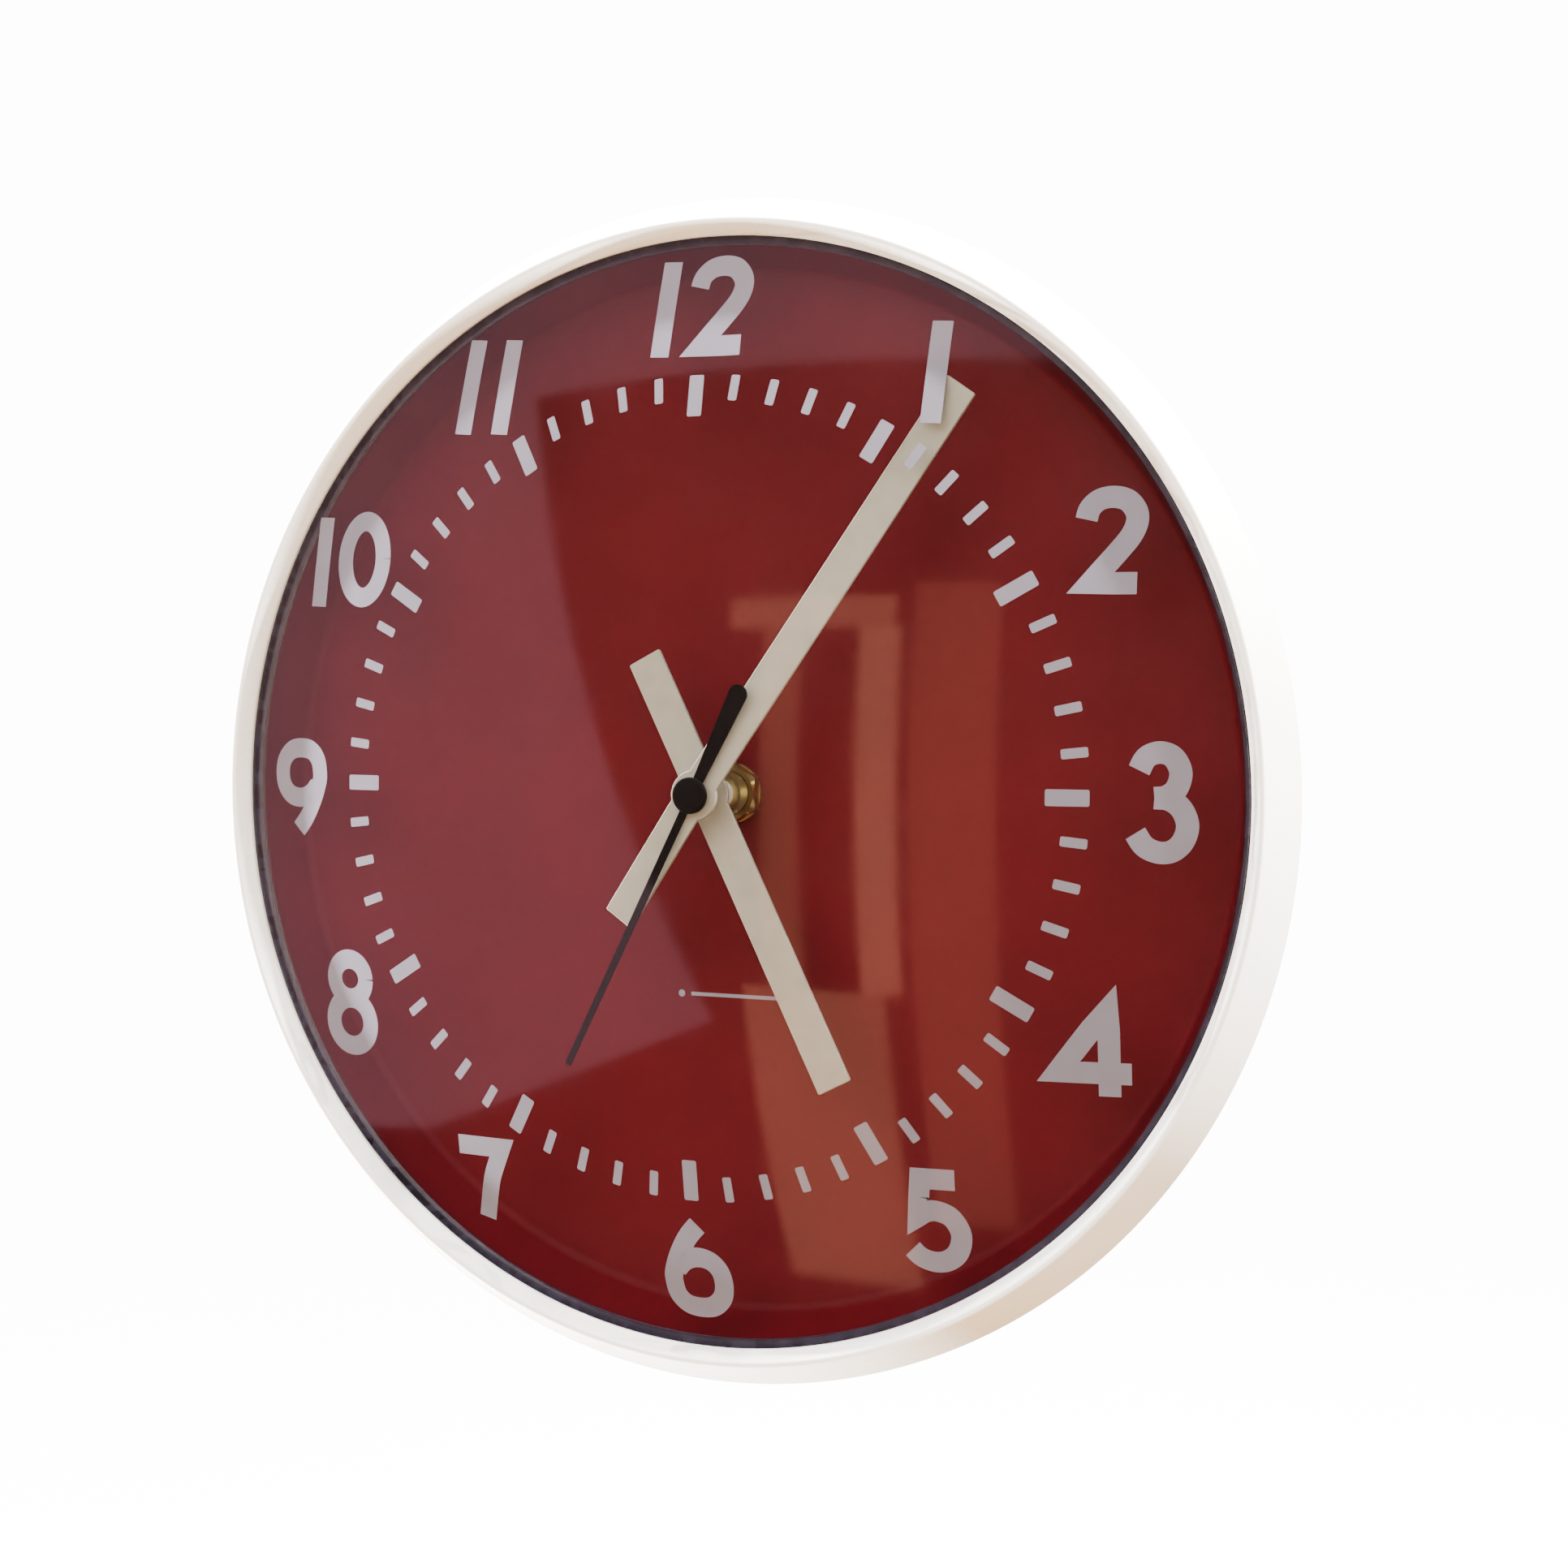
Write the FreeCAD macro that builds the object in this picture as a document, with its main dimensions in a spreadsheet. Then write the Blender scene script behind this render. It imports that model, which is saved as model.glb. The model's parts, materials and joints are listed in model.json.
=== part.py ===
import FreeCAD, Part

import math
import os
import re

import Sketcher

# Round wall clock with a domed lens. Every sub-part is drawn in one clock frame, whose origin is the middle of
# the clock on the wall plane: local X runs right, local Y runs up and local Z comes off the wall. CLOCK_FRAME
# then stands that frame up, so that the row frame has +Z up, the dial faces -Y, and the origin is the point
# where the screw's shank carries the clock. Lengths are millimetres and angles are degrees.

SIZES = [
    ("overall_radius", 110.0, "bezel, widest edge"),
    ("bezel_back", 28.3, "widest edge, off the wall"),
    ("bezel_crest", 36.0, "front of the bezel, off the wall"),
    ("crest_inset", 4.7, "outer corner of the crest, in from the widest edge"),
    ("crest_width", 1.0, "flat top of the crest"),
    ("flare_width", 5.8, "bezel beyond the case rim"),
    ("lip_width", 1.8, "lip inside the case rim"),
    ("bezel_wall", 1.8, "moulded wall"),
    ("lip_wall", 0.5, "lip edge above the lens"),
    ("snap_bead", 0.7, "snap bead under the case rim"),
    ("fit_gap", 0.2, "moulded parts that slide together"),
    ("wall", 2.0, "case side wall"),
    ("back_wall", 2.5, "case back wall"),
    ("rear_inset", 8.2, "case at the wall, in from the rim"),
    ("rim_depth", 3.0, "height of the case rim"),
    ("rim_wall", 1.6, "case rim, thickness"),
    ("rim_step", 0.8, "rim stands proud of the side wall"),
    ("window_gap", 1.0, "access window round the movement"),
    ("hang_height", 78.0, "hanging point above the middle"),
    ("slot_width", 4.8, "keyhole slot"),
    ("entry_radius", 4.75, "keyhole entry hole"),
    ("slot_drop", 10.0, "entry hole below the hanging point"),
    ("dial_sheet", 0.5, "dial sheet"),
    ("dial_floor", 21.0, "dial face, off the wall"),
    ("dial_slope", 4.8, "sloping wall of the dial, in plan"),
    ("dial_flange", 31.0, "dial flange, off the wall"),
    ("gasket", 0.5, "gasket under the lens"),
    ("lens_wall", 1.4, "lens"),
    ("lens_apex", 44.6, "inside of the lens at its middle"),
    ("lens_rise", 11.9, "rise of the dome"),
    ("lens_shoulder", 1.2, "short wall round the dome"),
    ("rubber_washer", 0.9, "washer behind the dial"),
    ("movement_size", 56.0, "movement, square"),
    ("movement_back", 3.0, "movement, off the wall"),
    ("movement_wall", 1.2, "housing wall"),
    ("housing_split", 12.0, "joint of the two housings"),
    ("bay_gap", 0.6, "play of the cell across its bay"),
    ("cell_lift", 0.95, "cell in from the back of the movement"),
    ("partition", 1.0, "wall between bay and gear train"),
    ("battery_radius", 6.95, "AA cell"),
    ("battery_can", 49.2, "AA cell, can"),
    ("battery_nub", 1.3, "AA cell, terminal"),
    ("nub_radius", 2.7, "AA cell, terminal"),
    ("contact_sheet", 0.4, "contact strips"),
    ("contact_gap", 0.3, "air between cell and contacts"),
    ("plate_back", 12.6, "gear plate, off the wall"),
    ("plate_sheet", 1.0, "gear plate"),
    ("pillar_radius", 1.4, "pillars under the gear plate"),
    ("plate_gap", 0.4, "gear plate inside the housing"),
    ("post_radius", 1.0, "posts under the stator and the board"),
    ("post_inset", 1.8, "posts, in from the corners of what they carry"),
    ("pivot_hole_depth", 0.6, "blind pivot holes in the housings"),
    ("running", 0.06, "radial clearance of a turning shaft"),
    ("pivot_radius", 0.35, "wheel pivots"),
    ("arbor_radius", 0.5, "arbors of the wheels and of the second hand"),
    ("minute_pipe", 1.55, "minute pipe, outside"),
    ("hour_pipe", 2.55, "hour pipe, outside"),
    ("thread_radius", 4.0, "bushing thread"),
    ("bushing_rise", 6.0, "bushing in front of the dial"),
    ("bushing_head", 1.0, "bushing flange, thickness"),
    ("bushing_flange", 5.8, "bushing flange"),
    ("nut_flats", 10.5, "nut across its flats"),
    ("nut_height", 2.4, "nut"),
    ("washer_sheet", 0.5, "washer under the nut"),
    ("washer_radius", 5.6, "washer under the nut"),
    ("hand_sheet", 0.8, "hour and minute hands"),
    ("hour_front", 33.8, "hour hand, off the wall"),
    ("hour_length", 58.8, "hour hand, tip"),
    ("hour_tail", 28.4, "hour hand, tail"),
    ("hour_width", 6.9, "hour hand, blade"),
    ("hour_boss", 4.75, "hour hand, boss"),
    ("hour_angle", 153.2, "hour hand, clockwise from 12"),
    ("minute_front", 38.4, "minute hand, off the wall"),
    ("minute_length", 88.5, "minute hand, tip"),
    ("minute_tail", 28.3, "minute hand, tail"),
    ("minute_width", 6.6, "minute hand, blade"),
    ("minute_boss", 4.6, "minute hand, boss"),
    ("minute_drop", 3.7, "minute hand, tip set back to clear the dome"),
    ("minute_angle", 34.5, "minute hand, clockwise from 12"),
    ("second_back", 39.0, "second hand, off the wall"),
    ("second_sheet", 0.4, "second hand"),
    ("second_length", 57.0, "second hand, tip"),
    ("second_tail", 22.5, "second hand, tail"),
    ("needle_width", 1.5, "second hand, needle"),
    ("tail_width", 3.7, "second hand, end of the tail"),
    ("second_angle", 206.7, "second hand, clockwise from 12"),
    ("cap_radius", 3.35, "second hand, cap"),
    ("cap_height", 1.2, "second hand, cap"),
    ("knob_radius", 6.0, "setting knob"),
    ("knob_height", 1.8, "setting knob"),
    ("setting_radius", 1.2, "setting shaft"),
    ("magnet_radius", 2.6, "rotor magnet"),
    ("magnet_height", 2.2, "rotor magnet"),
    ("module_rotor", 0.25, "rotor pinion and fifth wheel"),
    ("module_fifth", 0.34, "fifth pinion and seconds wheel"),
    ("module_train", 0.28, "seconds pinion and third wheel"),
    ("module_motion", 0.30, "minute pinion and motion wheel"),
    ("backlash", 0.05, "play in each pair of teeth"),
    ("pinion_teeth", 8, "rotor, fifth, seconds and third pinions"),
    ("fifth_teeth", 40, "fifth wheel, turned by the rotor"),
    ("seconds_teeth", 48, "seconds wheel, turned by the fifth pinion"),
    ("third_teeth", 60, "third wheel, turned by the seconds pinion"),
    ("centre_teeth", 64, "centre wheel, turned by the third pinion"),
    ("minute_teeth", 12, "pinion on the minute pipe"),
    ("motion_teeth", 36, "motion wheel, turned by the minute pinion"),
    ("motion_pinion_teeth", 10, "pinion on the motion wheel"),
    ("hour_teeth", 40, "hour wheel, turned by the motion pinion"),
    ("setting_teeth", 12, "pinion on the setting shaft"),
    ("third_angle", 45, "direction of the third arbor from the middle"),
    ("fifth_angle", 180, "direction of the fifth arbor from the middle"),
    ("rotor_angle", 126, "direction of the rotor from the fifth arbor"),
    ("motion_angle", -20, "direction of the motion arbor, and of the setting shaft beyond it"),
    ("wheel_sheet", 0.7, "gear wheels"),
    ("seconds_layer", 5.0, "seconds wheel, off the wall"),
    ("third_layer", 7.2, "third and fifth wheels, off the wall"),
    ("centre_layer", 9.4, "centre wheel, off the wall"),
    ("motion_layer", 14.4, "motion wheel, off the wall"),
    ("hour_layer", 16.1, "hour wheel, off the wall"),
    ("magnet_back", 8.2, "rotor magnet, off the wall"),
    ("stator_back", 8.8, "stator, off the wall"),
    ("lamination", 0.8, "stator and coil core"),
    ("air_gap", 0.4, "between magnet and stator"),
    ("motor_gap", 1.0, "coil and board, inside the housing wall"),
    ("core_rise", 4.3, "coil core and stator above the partition"),
    ("core_length", 21.0, "coil core and stator"),
    ("core_width", 2.4, "coil core"),
    ("tube_width", 4.0, "bobbin tube and stator arms at the core"),
    ("tube_height", 2.4, "bobbin tube"),
    ("stator_arm", 3.4, "stator arms"),
    ("stator_web", 0.75, "stator beyond its bore"),
    ("coil_gap", 0.8, "stator beside the coil"),
    ("bobbin_gap", 1.1, "bobbin between the stator arms"),
    ("bobbin_sheet", 0.8, "bobbin flanges, thickness"),
    ("hole_radius", 0.5, "rivet, screw and eyelet holes"),
    ("coil_radius", 3.4, "winding"),
    ("flange_radius", 3.8, "bobbin flanges"),
    ("board_back", 8.0, "circuit board, off the wall"),
    ("board_sheet", 1.0, "circuit board"),
    ("board_width", 9.2, "circuit board"),
    ("board_height", 19.0, "circuit board"),
    ("board_rise", 12.3, "circuit board above the partition"),
    ("crystal_radius", 1.0, "crystal can"),
    ("crystal_length", 5.0, "crystal can"),
    ("crystal_foot", 0.6, "base of the crystal can"),
    ("crystal_inset", 1.9, "axis of the crystal, in from the board's edge"),
    ("chip_radius", 2.2, "sealed chip"),
    ("chip_height", 1.0, "sealed chip"),
    ("contact_half", 4.5, "contact strips, half their width"),
    ("contact_reach", 5.0, "contact strips, half their height"),
    ("spring_foot", 4.2, "spring contact, at the strip"),
    ("spring_tip", 2.4, "spring contact, at the cell"),
]

# Places that follow from the sizes, as formulas of the second sheet.
PLACES = [
    ("rim_radius", "overall_radius - flare_width", "case rim, outside"),
    ("crest_radius", "overall_radius - crest_inset", "outer corner of the crest"),
    ("sight_radius", "overall_radius - flare_width - lip_width", "clear opening of the lip"),
    ("rear_radius", "overall_radius - flare_width - rear_inset", "case at the wall"),
    ("dial_floor_radius", "sight_radius - dial_slope", "flat of the dial"),
    ("rim_top", "dial_flange - dial_sheet", "case rim under the dial flange"),
    ("rim_foot", "dial_flange - dial_sheet - rim_depth", "lower edge of the case rim"),
    ("side_radius", "rim_radius - rim_step", "case side wall at the rim"),
    ("rim_inside", "rim_radius - rim_wall", "inside of the rim"),
    ("rim_inside_foot", "dial_flange - dial_sheet - rim_depth + 1.5 * rim_step", "inside of the rim, lower end"),
    ("side_inside", "rim_radius - rim_step - wall", "inside of the side wall at the rim"),
    ("side_inside_top", "dial_flange - dial_sheet - rim_depth - rim_step", "inside of the side wall, upper end"),
    ("rear_inside", "rear_radius - wall", "inside of the side wall at the back wall"),
    ("lens_seat", "dial_flange + gasket", "lens flange on its gasket"),
    ("lens_front", "dial_flange + gasket + lens_wall", "front of the lens flange"),
    ("lens_radius", "rim_radius - fit_gap", "edge of the lens and dial flanges"),
    ("dome_radius", "sight_radius - lens_wall", "inside of the dome at its foot"),
    ("dome_foot", "lens_apex - lens_rise", "inside of the dome at its foot"),
    ("dome_outside", "sight_radius - fit_gap", "outside of the dome at its foot"),
    ("dome_outside_foot", "lens_apex - lens_rise + lens_shoulder", "outside of the dome at its foot"),
    ("lens_top", "lens_apex + lens_wall", "front of the whole clock"),
    ("lip_top", "dial_flange + gasket + lens_wall + lip_wall", "edge of the lip"),
    ("crest_inside", "crest_radius - crest_width", "inner corner of the crest"),
    ("skirt_inside", "rim_radius + fit_gap", "bezel skirt over the case rim"),
    ("skirt_outside", "rim_radius + fit_gap + 2 * bezel_wall / 3", "bezel skirt, outside"),
    ("skirt_web", "bezel_crest - 2.5 * bezel_wall", "web that joins skirt and flare"),
    ("bead_radius", "rim_radius + fit_gap - snap_bead", "snap bead"),
    ("bead_top", "dial_flange - dial_sheet - rim_depth - fit_gap / 2", "snap bead, top"),
    ("bead_bottom", "dial_flange - dial_sheet - rim_depth - fit_gap / 2 - snap_bead", "skirt, lower end"),
    ("edge_radius", "overall_radius - bezel_wall / 3", "rounded back edge"),
    ("edge_top", "bezel_back + bezel_wall / 3", "rounded back edge"),
    ("flare_inside", "overall_radius - bezel_wall", "inside of the back edge"),
    ("dial_back", "dial_floor - dial_sheet", "back of the dial"),
    ("dial_wall_top", "sight_radius - dial_sheet", "inside of the dial wall"),
    ("dial_outside", "dial_floor_radius + dial_sheet", "outside of the dial wall at its foot"),
    ("dial_hole", "thread_radius + fit_gap", "hole for the bushing"),
    ("movement_front", "dial_floor - dial_sheet - rubber_washer", "front of the movement"),
    ("half_movement", "movement_size / 2", "movement, half its width"),
    ("half_inside", "movement_size / 2 - movement_wall", "movement, half its inside"),
    ("floor_inside", "movement_back + movement_wall", "inside of the back housing"),
    ("front_inside", "dial_floor - dial_sheet - rubber_washer - movement_wall", "inside of the front housing"),
    ("bay_width", "2 * battery_radius + bay_gap", "battery bay"),
    ("bay_bottom", "movement_wall - movement_size / 2", "battery bay, lower wall"),
    ("bay_top", "movement_wall - movement_size / 2 + bay_width", "battery bay, partition"),
    ("train_bottom", "movement_wall - movement_size / 2 + bay_width + partition", "gear train, partition"),
    ("battery_y", "movement_wall - movement_size / 2 + bay_width / 2", "axis of the cell"),
    ("battery_z", "movement_back + battery_radius + cell_lift", "axis of the cell, off the wall"),
    ("battery_x", "movement_wall - movement_size / 2 + contact_sheet + contact_cone + contact_gap", "flat end"),
    ("contact_cone", "movement_size - 2 * movement_wall - 2 * contact_sheet - 2 * contact_gap"
     " - battery_can - battery_nub", "spring contact"),
    ("half_window", "movement_size / 2 + window_gap", "access window, half its width"),
    ("bushing_end", "dial_floor + bushing_rise", "bushing, off the wall"),
    ("entry_y", "hang_height - slot_drop", "keyhole entry hole"),
    ("half_slot", "slot_width / 2", "keyhole slot, half its width"),
    ("pillar_x", "movement_size / 2 - movement_wall - 2.2", "pillars"),
    ("pillar_high", "movement_size / 2 - movement_wall - 2.2", "upper pillars"),
    ("pillar_low", "movement_wall - movement_size / 2 + bay_width + partition + 1.9", "lower pillars"),
    ("plate_front", "plate_back + plate_sheet", "front of the gear plate"),
    ("fifth_gap", "module_fifth * (pinion_teeth + seconds_teeth) / 2", "fifth arbor to the middle"),
    ("third_gap", "module_train * (pinion_teeth + third_teeth) / 2", "third arbor to the middle"),
    ("rotor_gap", "module_rotor * (pinion_teeth + fifth_teeth) / 2", "rotor to the fifth arbor"),
    ("motion_gap", "module_motion * (minute_teeth + motion_teeth) / 2", "motion arbor to the middle"),
    ("setting_gap", "module_motion * (setting_teeth + motion_teeth) / 2", "setting shaft to the motion arbor"),
    ("third_x", "third_gap * cos(third_angle)", "third arbor"),
    ("third_y", "third_gap * sin(third_angle)", "third arbor"),
    ("fifth_x", "fifth_gap * cos(fifth_angle)", "fifth arbor"),
    ("fifth_y", "fifth_gap * sin(fifth_angle)", "fifth arbor"),
    ("rotor_x", "fifth_x + rotor_gap * cos(rotor_angle)", "rotor"),
    ("rotor_y", "fifth_y + rotor_gap * sin(rotor_angle)", "rotor"),
    ("motion_x", "motion_gap * cos(motion_angle)", "motion arbor"),
    ("motion_y", "motion_gap * sin(motion_angle)", "motion arbor"),
    ("setting_x", "motion_x + setting_gap * cos(motion_angle)", "setting shaft"),
    ("setting_y", "motion_y + setting_gap * sin(motion_angle)", "setting shaft"),
    ("module_centre", "2 * third_gap / (pinion_teeth + centre_teeth)", "third pinion and centre wheel"),
    ("module_hour", "2 * motion_gap / (motion_pinion_teeth + hour_teeth)", "motion pinion and hour wheel"),
    ("core_back", "stator_back - lamination", "coil core, off the wall"),
    ("coil_x", "flange_radius + motor_gap - half_inside", "axis of the coil"),
    ("core_low", "train_bottom + core_rise", "coil core and stator, lower end"),
    ("core_high", "train_bottom + core_rise + core_length", "coil core and stator, upper end"),
    ("stator_left", "coil_x + flange_radius + coil_gap", "stator plate beside the coil"),
    ("stator_right", "rotor_x + magnet_radius + air_gap + stator_web", "stator plate beyond the rotor"),
    ("coil_low", "core_low + stator_arm + bobbin_gap", "lower end of the bobbin"),
    ("coil_high", "core_high - stator_arm - bobbin_gap", "upper end of the bobbin"),
    ("board_right", "half_inside - motor_gap", "circuit board, outer side"),
    ("board_left", "half_inside - motor_gap - board_width", "circuit board, inner side"),
    ("board_low", "train_bottom + board_rise", "circuit board, lower side"),
    ("board_high", "train_bottom + board_rise + board_height", "circuit board, upper side"),
    ("crystal_x", "board_left + crystal_inset", "axis of the crystal"),
    ("chip_x", "board_right - 1.45 * chip_radius", "sealed chip"),
    ("chip_y", "(board_low + board_high) / 2 + chip_radius", "sealed chip"),
    ("coil_z", "stator_back - lamination / 2", "axis of the coil, off the wall"),
    ("minute_boss_z", "minute_front - hand_sheet", "back of the minute hand"),
    ("minute_slope", "minute_drop / (minute_length - minute_boss)", "fall of the blade"),
    ("minute_tip_high", "minute_front - minute_drop", "tip of the minute hand, front"),
    ("minute_tip_low", "minute_front - hand_sheet - minute_drop", "tip of the minute hand, back"),
    ("minute_tail_high", "minute_front - minute_slope * (minute_tail - minute_boss)", "tail, front"),
    ("minute_tail_low", "minute_front - hand_sheet - minute_slope * (minute_tail - minute_boss)", "tail, back"),
    ("needle_half", "needle_width / 2", "needle, half its width"),
    ("tail_half", "tail_width / 2", "tail, half its width"),
    ("second_tail_straight", "second_tail - tail_width / 2", "tail up to its rounded end"),
]
SIZE_NAMES = [name for name, value, note in SIZES]
doc = FreeCAD.newDocument("wall_clock")
Vector = FreeCAD.Vector


def make_sheet(name, rows):
    """One spreadsheet with an alias, a value or formula, and a note on each row."""
    sheet = doc.addObject("Spreadsheet::Sheet", name)
    for row, (alias, content, note) in enumerate(rows, 1):
        sheet.set(f"A{row}", alias)
        sheet.set(f"B{row}", str(content))
        sheet.setAlias(f"B{row}", alias)
        sheet.set(f"C{row}", note)
    return sheet


def cell(name):
    """Full name of a cell: driving sizes are in Size and everything else is in Place."""
    if name in ("cos", "sin"):
        return name
    return f"Size.{name}" if name in SIZE_NAMES else f"Place.{name}"


def formula(text):
    """The formula with each word given the name of the sheet that holds it."""
    return re.sub(r"[a-z_]+", lambda word: cell(word.group()), text)


size_sheet = make_sheet("Size", SIZES)
place_sheet = make_sheet("Place", [(name, "=" + formula(text), note) for name, text, note in PLACES])
doc.recompute()


def num(name):
    """Value of a cell."""
    sheet = size_sheet if name in SIZE_NAMES else place_sheet
    return float(sheet.get(name))


UPRIGHT = FreeCAD.Rotation(Vector(1, 0, 0), 90)
CLOCK_FRAME = FreeCAD.Placement(Vector(0, 0, -num("hang_height")), UPRIGHT)
nodes = {}


def turned(angle):
    """The clock frame turned clockwise, as seen from the front, by an angle."""
    turn = FreeCAD.Placement(Vector(0, 0, 0), FreeCAD.Rotation(Vector(0, 0, 1), -angle))
    return CLOCK_FRAME.multiply(turn)


def origin_plane(body, role):
    """The body's own XY_Plane, XZ_Plane or YZ_Plane."""
    return next(item for item in body.Origin.OriginFeatures if item.Role == role)


def new_body(label):
    body = doc.addObject("PartDesign::Body", label)
    body.Label = label
    return body


def new_sketch(body, name, role, lift="0"):
    """A sketch on an origin plane of the body, lifted off it by a formula."""
    sketch = body.newObject("Sketcher::SketchObject", name)
    sketch.AttachmentSupport = (origin_plane(body, role), [""])
    sketch.MapMode = "FlatFace"
    if lift != "0":
        sketch.setExpression("AttachmentOffset.Base.z", formula(lift))
    return sketch


def value_of(name):
    """Value of a cell, a cell with a minus sign in front, or 0."""
    if name == "0":
        return 0.0
    return -num(name[1:]) if name.startswith("-") else num(name)


def pin_point(sketch, geometry, point, x, y):
    """Hold a point of the sketch at two cells, or on an axis where the cell is 0."""
    for kind, axis, name in (("DistanceX", -2, x), ("DistanceY", -1, y)):
        if name == "0":
            sketch.addConstraint(Sketcher.Constraint("PointOnObject", geometry, point, axis))
        else:
            index = sketch.addConstraint(Sketcher.Constraint(kind, geometry, point, value_of(name)))
            sketch.setExpression(f"Constraints[{index}]", formula(name))


def draw_outline(sketch, points, bulges=()):
    """Closed outline through points given as pairs of cells. The sides numbered in bulges are arcs whose centre
    lies on the sketch's vertical axis, and which meet that axis at one end."""
    corners = [Vector(value_of(x), value_of(y), 0) for x, y in points]
    for side, start in enumerate(corners):
        end = corners[(side + 1) % len(corners)]
        if side in bulges:
            sketch.addGeometry(dome_arc(start, end), False)
        else:
            sketch.addGeometry(Part.LineSegment(start, end), False)
    for side in range(len(points)):
        here = arc_ends(sketch, side)
        there = arc_ends(sketch, (side + 1) % len(points))
        sketch.addConstraint(Sketcher.Constraint("Coincident", side, here[1], (side + 1) % len(points), there[0]))
    for side, (x, y) in enumerate(points):
        pin_point(sketch, side, arc_ends(sketch, side)[0], x, y)
    for side in bulges:
        sketch.addConstraint(Sketcher.Constraint("PointOnObject", side, 3, -2))


def dome_arc(start, end):
    """Arc from start to end whose centre is on the vertical axis. One end is on that axis, at the apex."""
    apex, foot = (start, end) if start.x == 0 else (end, start)
    rise = apex.y - foot.y
    radius = (foot.x ** 2 + rise ** 2) / (2 * rise)
    centre = Vector(0, apex.y - radius, 0)
    foot_angle = math.atan2(foot.y - centre.y, foot.x)
    return Part.ArcOfCircle(Part.Circle(centre, Vector(0, 0, 1), radius), foot_angle, math.pi / 2)


def arc_ends(sketch, side):
    """Numbers of the side's first and last point, in the order in which the outline runs."""
    geometry = sketch.Geometry[side]
    if geometry.TypeId != "Part::GeomArcOfCircle":
        return 1, 2
    following = sketch.Geometry[(side + 1) % len(sketch.Geometry)]
    ends_here = geometry.EndPoint.distanceToPoint(following.StartPoint)
    starts_here = geometry.StartPoint.distanceToPoint(following.StartPoint)
    return (1, 2) if ends_here < starts_here else (2, 1)


def draw_circle(sketch, x, y, radius):
    """Circle at two cells."""
    start = Vector(value_of(x), value_of(y), 0)
    circle = sketch.addGeometry(Part.Circle(start, Vector(0, 0, 1), num(radius)), False)
    pin_point(sketch, circle, 3, x, y)
    index = sketch.addConstraint(Sketcher.Constraint("Radius", circle, num(radius)))
    sketch.setExpression(f"Constraints[{index}]", formula(radius))


def draw_rectangle(sketch, left, right, low, high):
    draw_outline(sketch, [(left, low), (right, low), (right, high), (left, high)])


def turn_outline(label, points, bulges=()):
    """A body turned about the clock's axis from an outline of radius and height."""
    body = new_body(label)
    sketch = new_sketch(body, f"{label}_outline", "XZ_Plane")
    draw_outline(sketch, points, bulges)
    solid = body.newObject("PartDesign::Revolution", f"{label}_turned")
    solid.Profile = sketch
    solid.ReferenceAxis = (sketch, ["V_Axis"])
    solid.Angle = 360
    doc.recompute()
    return body


def pad(body, sketch, height):
    solid = body.newObject("PartDesign::Pad", f"{sketch.Name}_pad")
    solid.Profile = sketch
    solid.setExpression("Length", formula(height))
    doc.recompute()
    return solid


def pocket_forward(body, sketch, depth):
    """Cut from the sketch towards the front of the clock, and check that it cuts."""
    before = body.Shape.Volume
    cut = body.newObject("PartDesign::Pocket", f"{sketch.Name}_cut")
    cut.Profile = sketch
    cut.Reversed = True
    cut.setExpression("Length", formula(depth))
    doc.recompute()
    if body.Shape.Volume >= before:
        raise RuntimeError(f"{cut.Name} cuts nothing")


def round_circles(body, rings, radius):
    """Round the circular edges of a turned body that lie at the given pairs of radius and height."""
    names = []
    for number, edge in enumerate(body.Shape.Edges, 1):
        if edge.Curve.TypeId != "Part::GeomCircle":
            continue
        spot = (edge.Curve.Radius, edge.Curve.Center.z)
        if any(math.dist(spot, (num(ring), num(height) if height != "0" else 0)) < 0.01 for ring, height in rings):
            names.append(f"Edge{number}")
    turned_solid = body.Tip
    fillet = body.newObject("PartDesign::Fillet", f"{body.Name}_round")
    fillet.Base = (turned_solid, names)
    fillet.Radius = radius
    doc.recompute()


def keep(label, item, placement=CLOCK_FRAME):
    """Register a finished sub-part and stand it in the row frame."""
    item.Label = label
    item.Placement = placement
    nodes[label] = item


def cylinder(name, radius, low, high, x="0", y="0"):
    """Upright cylinder between two heights."""
    item = doc.addObject("Part::Cylinder", name)
    item.setExpression("Radius", formula(radius))
    item.setExpression("Height", formula(f"({high}) - ({low})"))
    for axis, text in (("x", x), ("y", y), ("z", low)):
        item.setExpression(f"Placement.Base.{axis}", formula(text))
    return item


def box(name, left, right, low, high, back, front):
    """Box between two planes on each axis."""
    item = doc.addObject("Part::Box", name)
    for side, start, end in (("Length", left, right), ("Width", low, high), ("Height", back, front)):
        item.setExpression(side, formula(f"({end}) - ({start})"))
    for axis, text in (("x", left), ("y", low), ("z", back)):
        item.setExpression(f"Placement.Base.{axis}", formula(text))
    return item


def lying(item, direction):
    """Turn a cylinder or cone from upright to lie along X or Y."""
    axis, angle = (Vector(0, 1, 0), 90) if direction == "x" else (Vector(1, 0, 0), -90)
    item.Placement.Rotation = FreeCAD.Rotation(axis, angle)
    return item


def fuse(name, *items):
    union = doc.addObject("Part::MultiFuse", name)
    union.Shapes = list(items)
    return union


def cut(name, base, *tools):
    result = doc.addObject("Part::Cut", name)
    result.Base = base
    result.Tool = tools[0] if len(tools) == 1 else fuse(f"{name}_tools", *tools)
    return result


def ring(label, inner, outer, low, high):
    """Flat ring about the clock's axis."""
    disc = cylinder(f"{label}_disc", outer, low, high)
    keep(label, cut(f"{label}_ring", disc, cylinder(f"{label}_hole", inner, low, high)))


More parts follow.
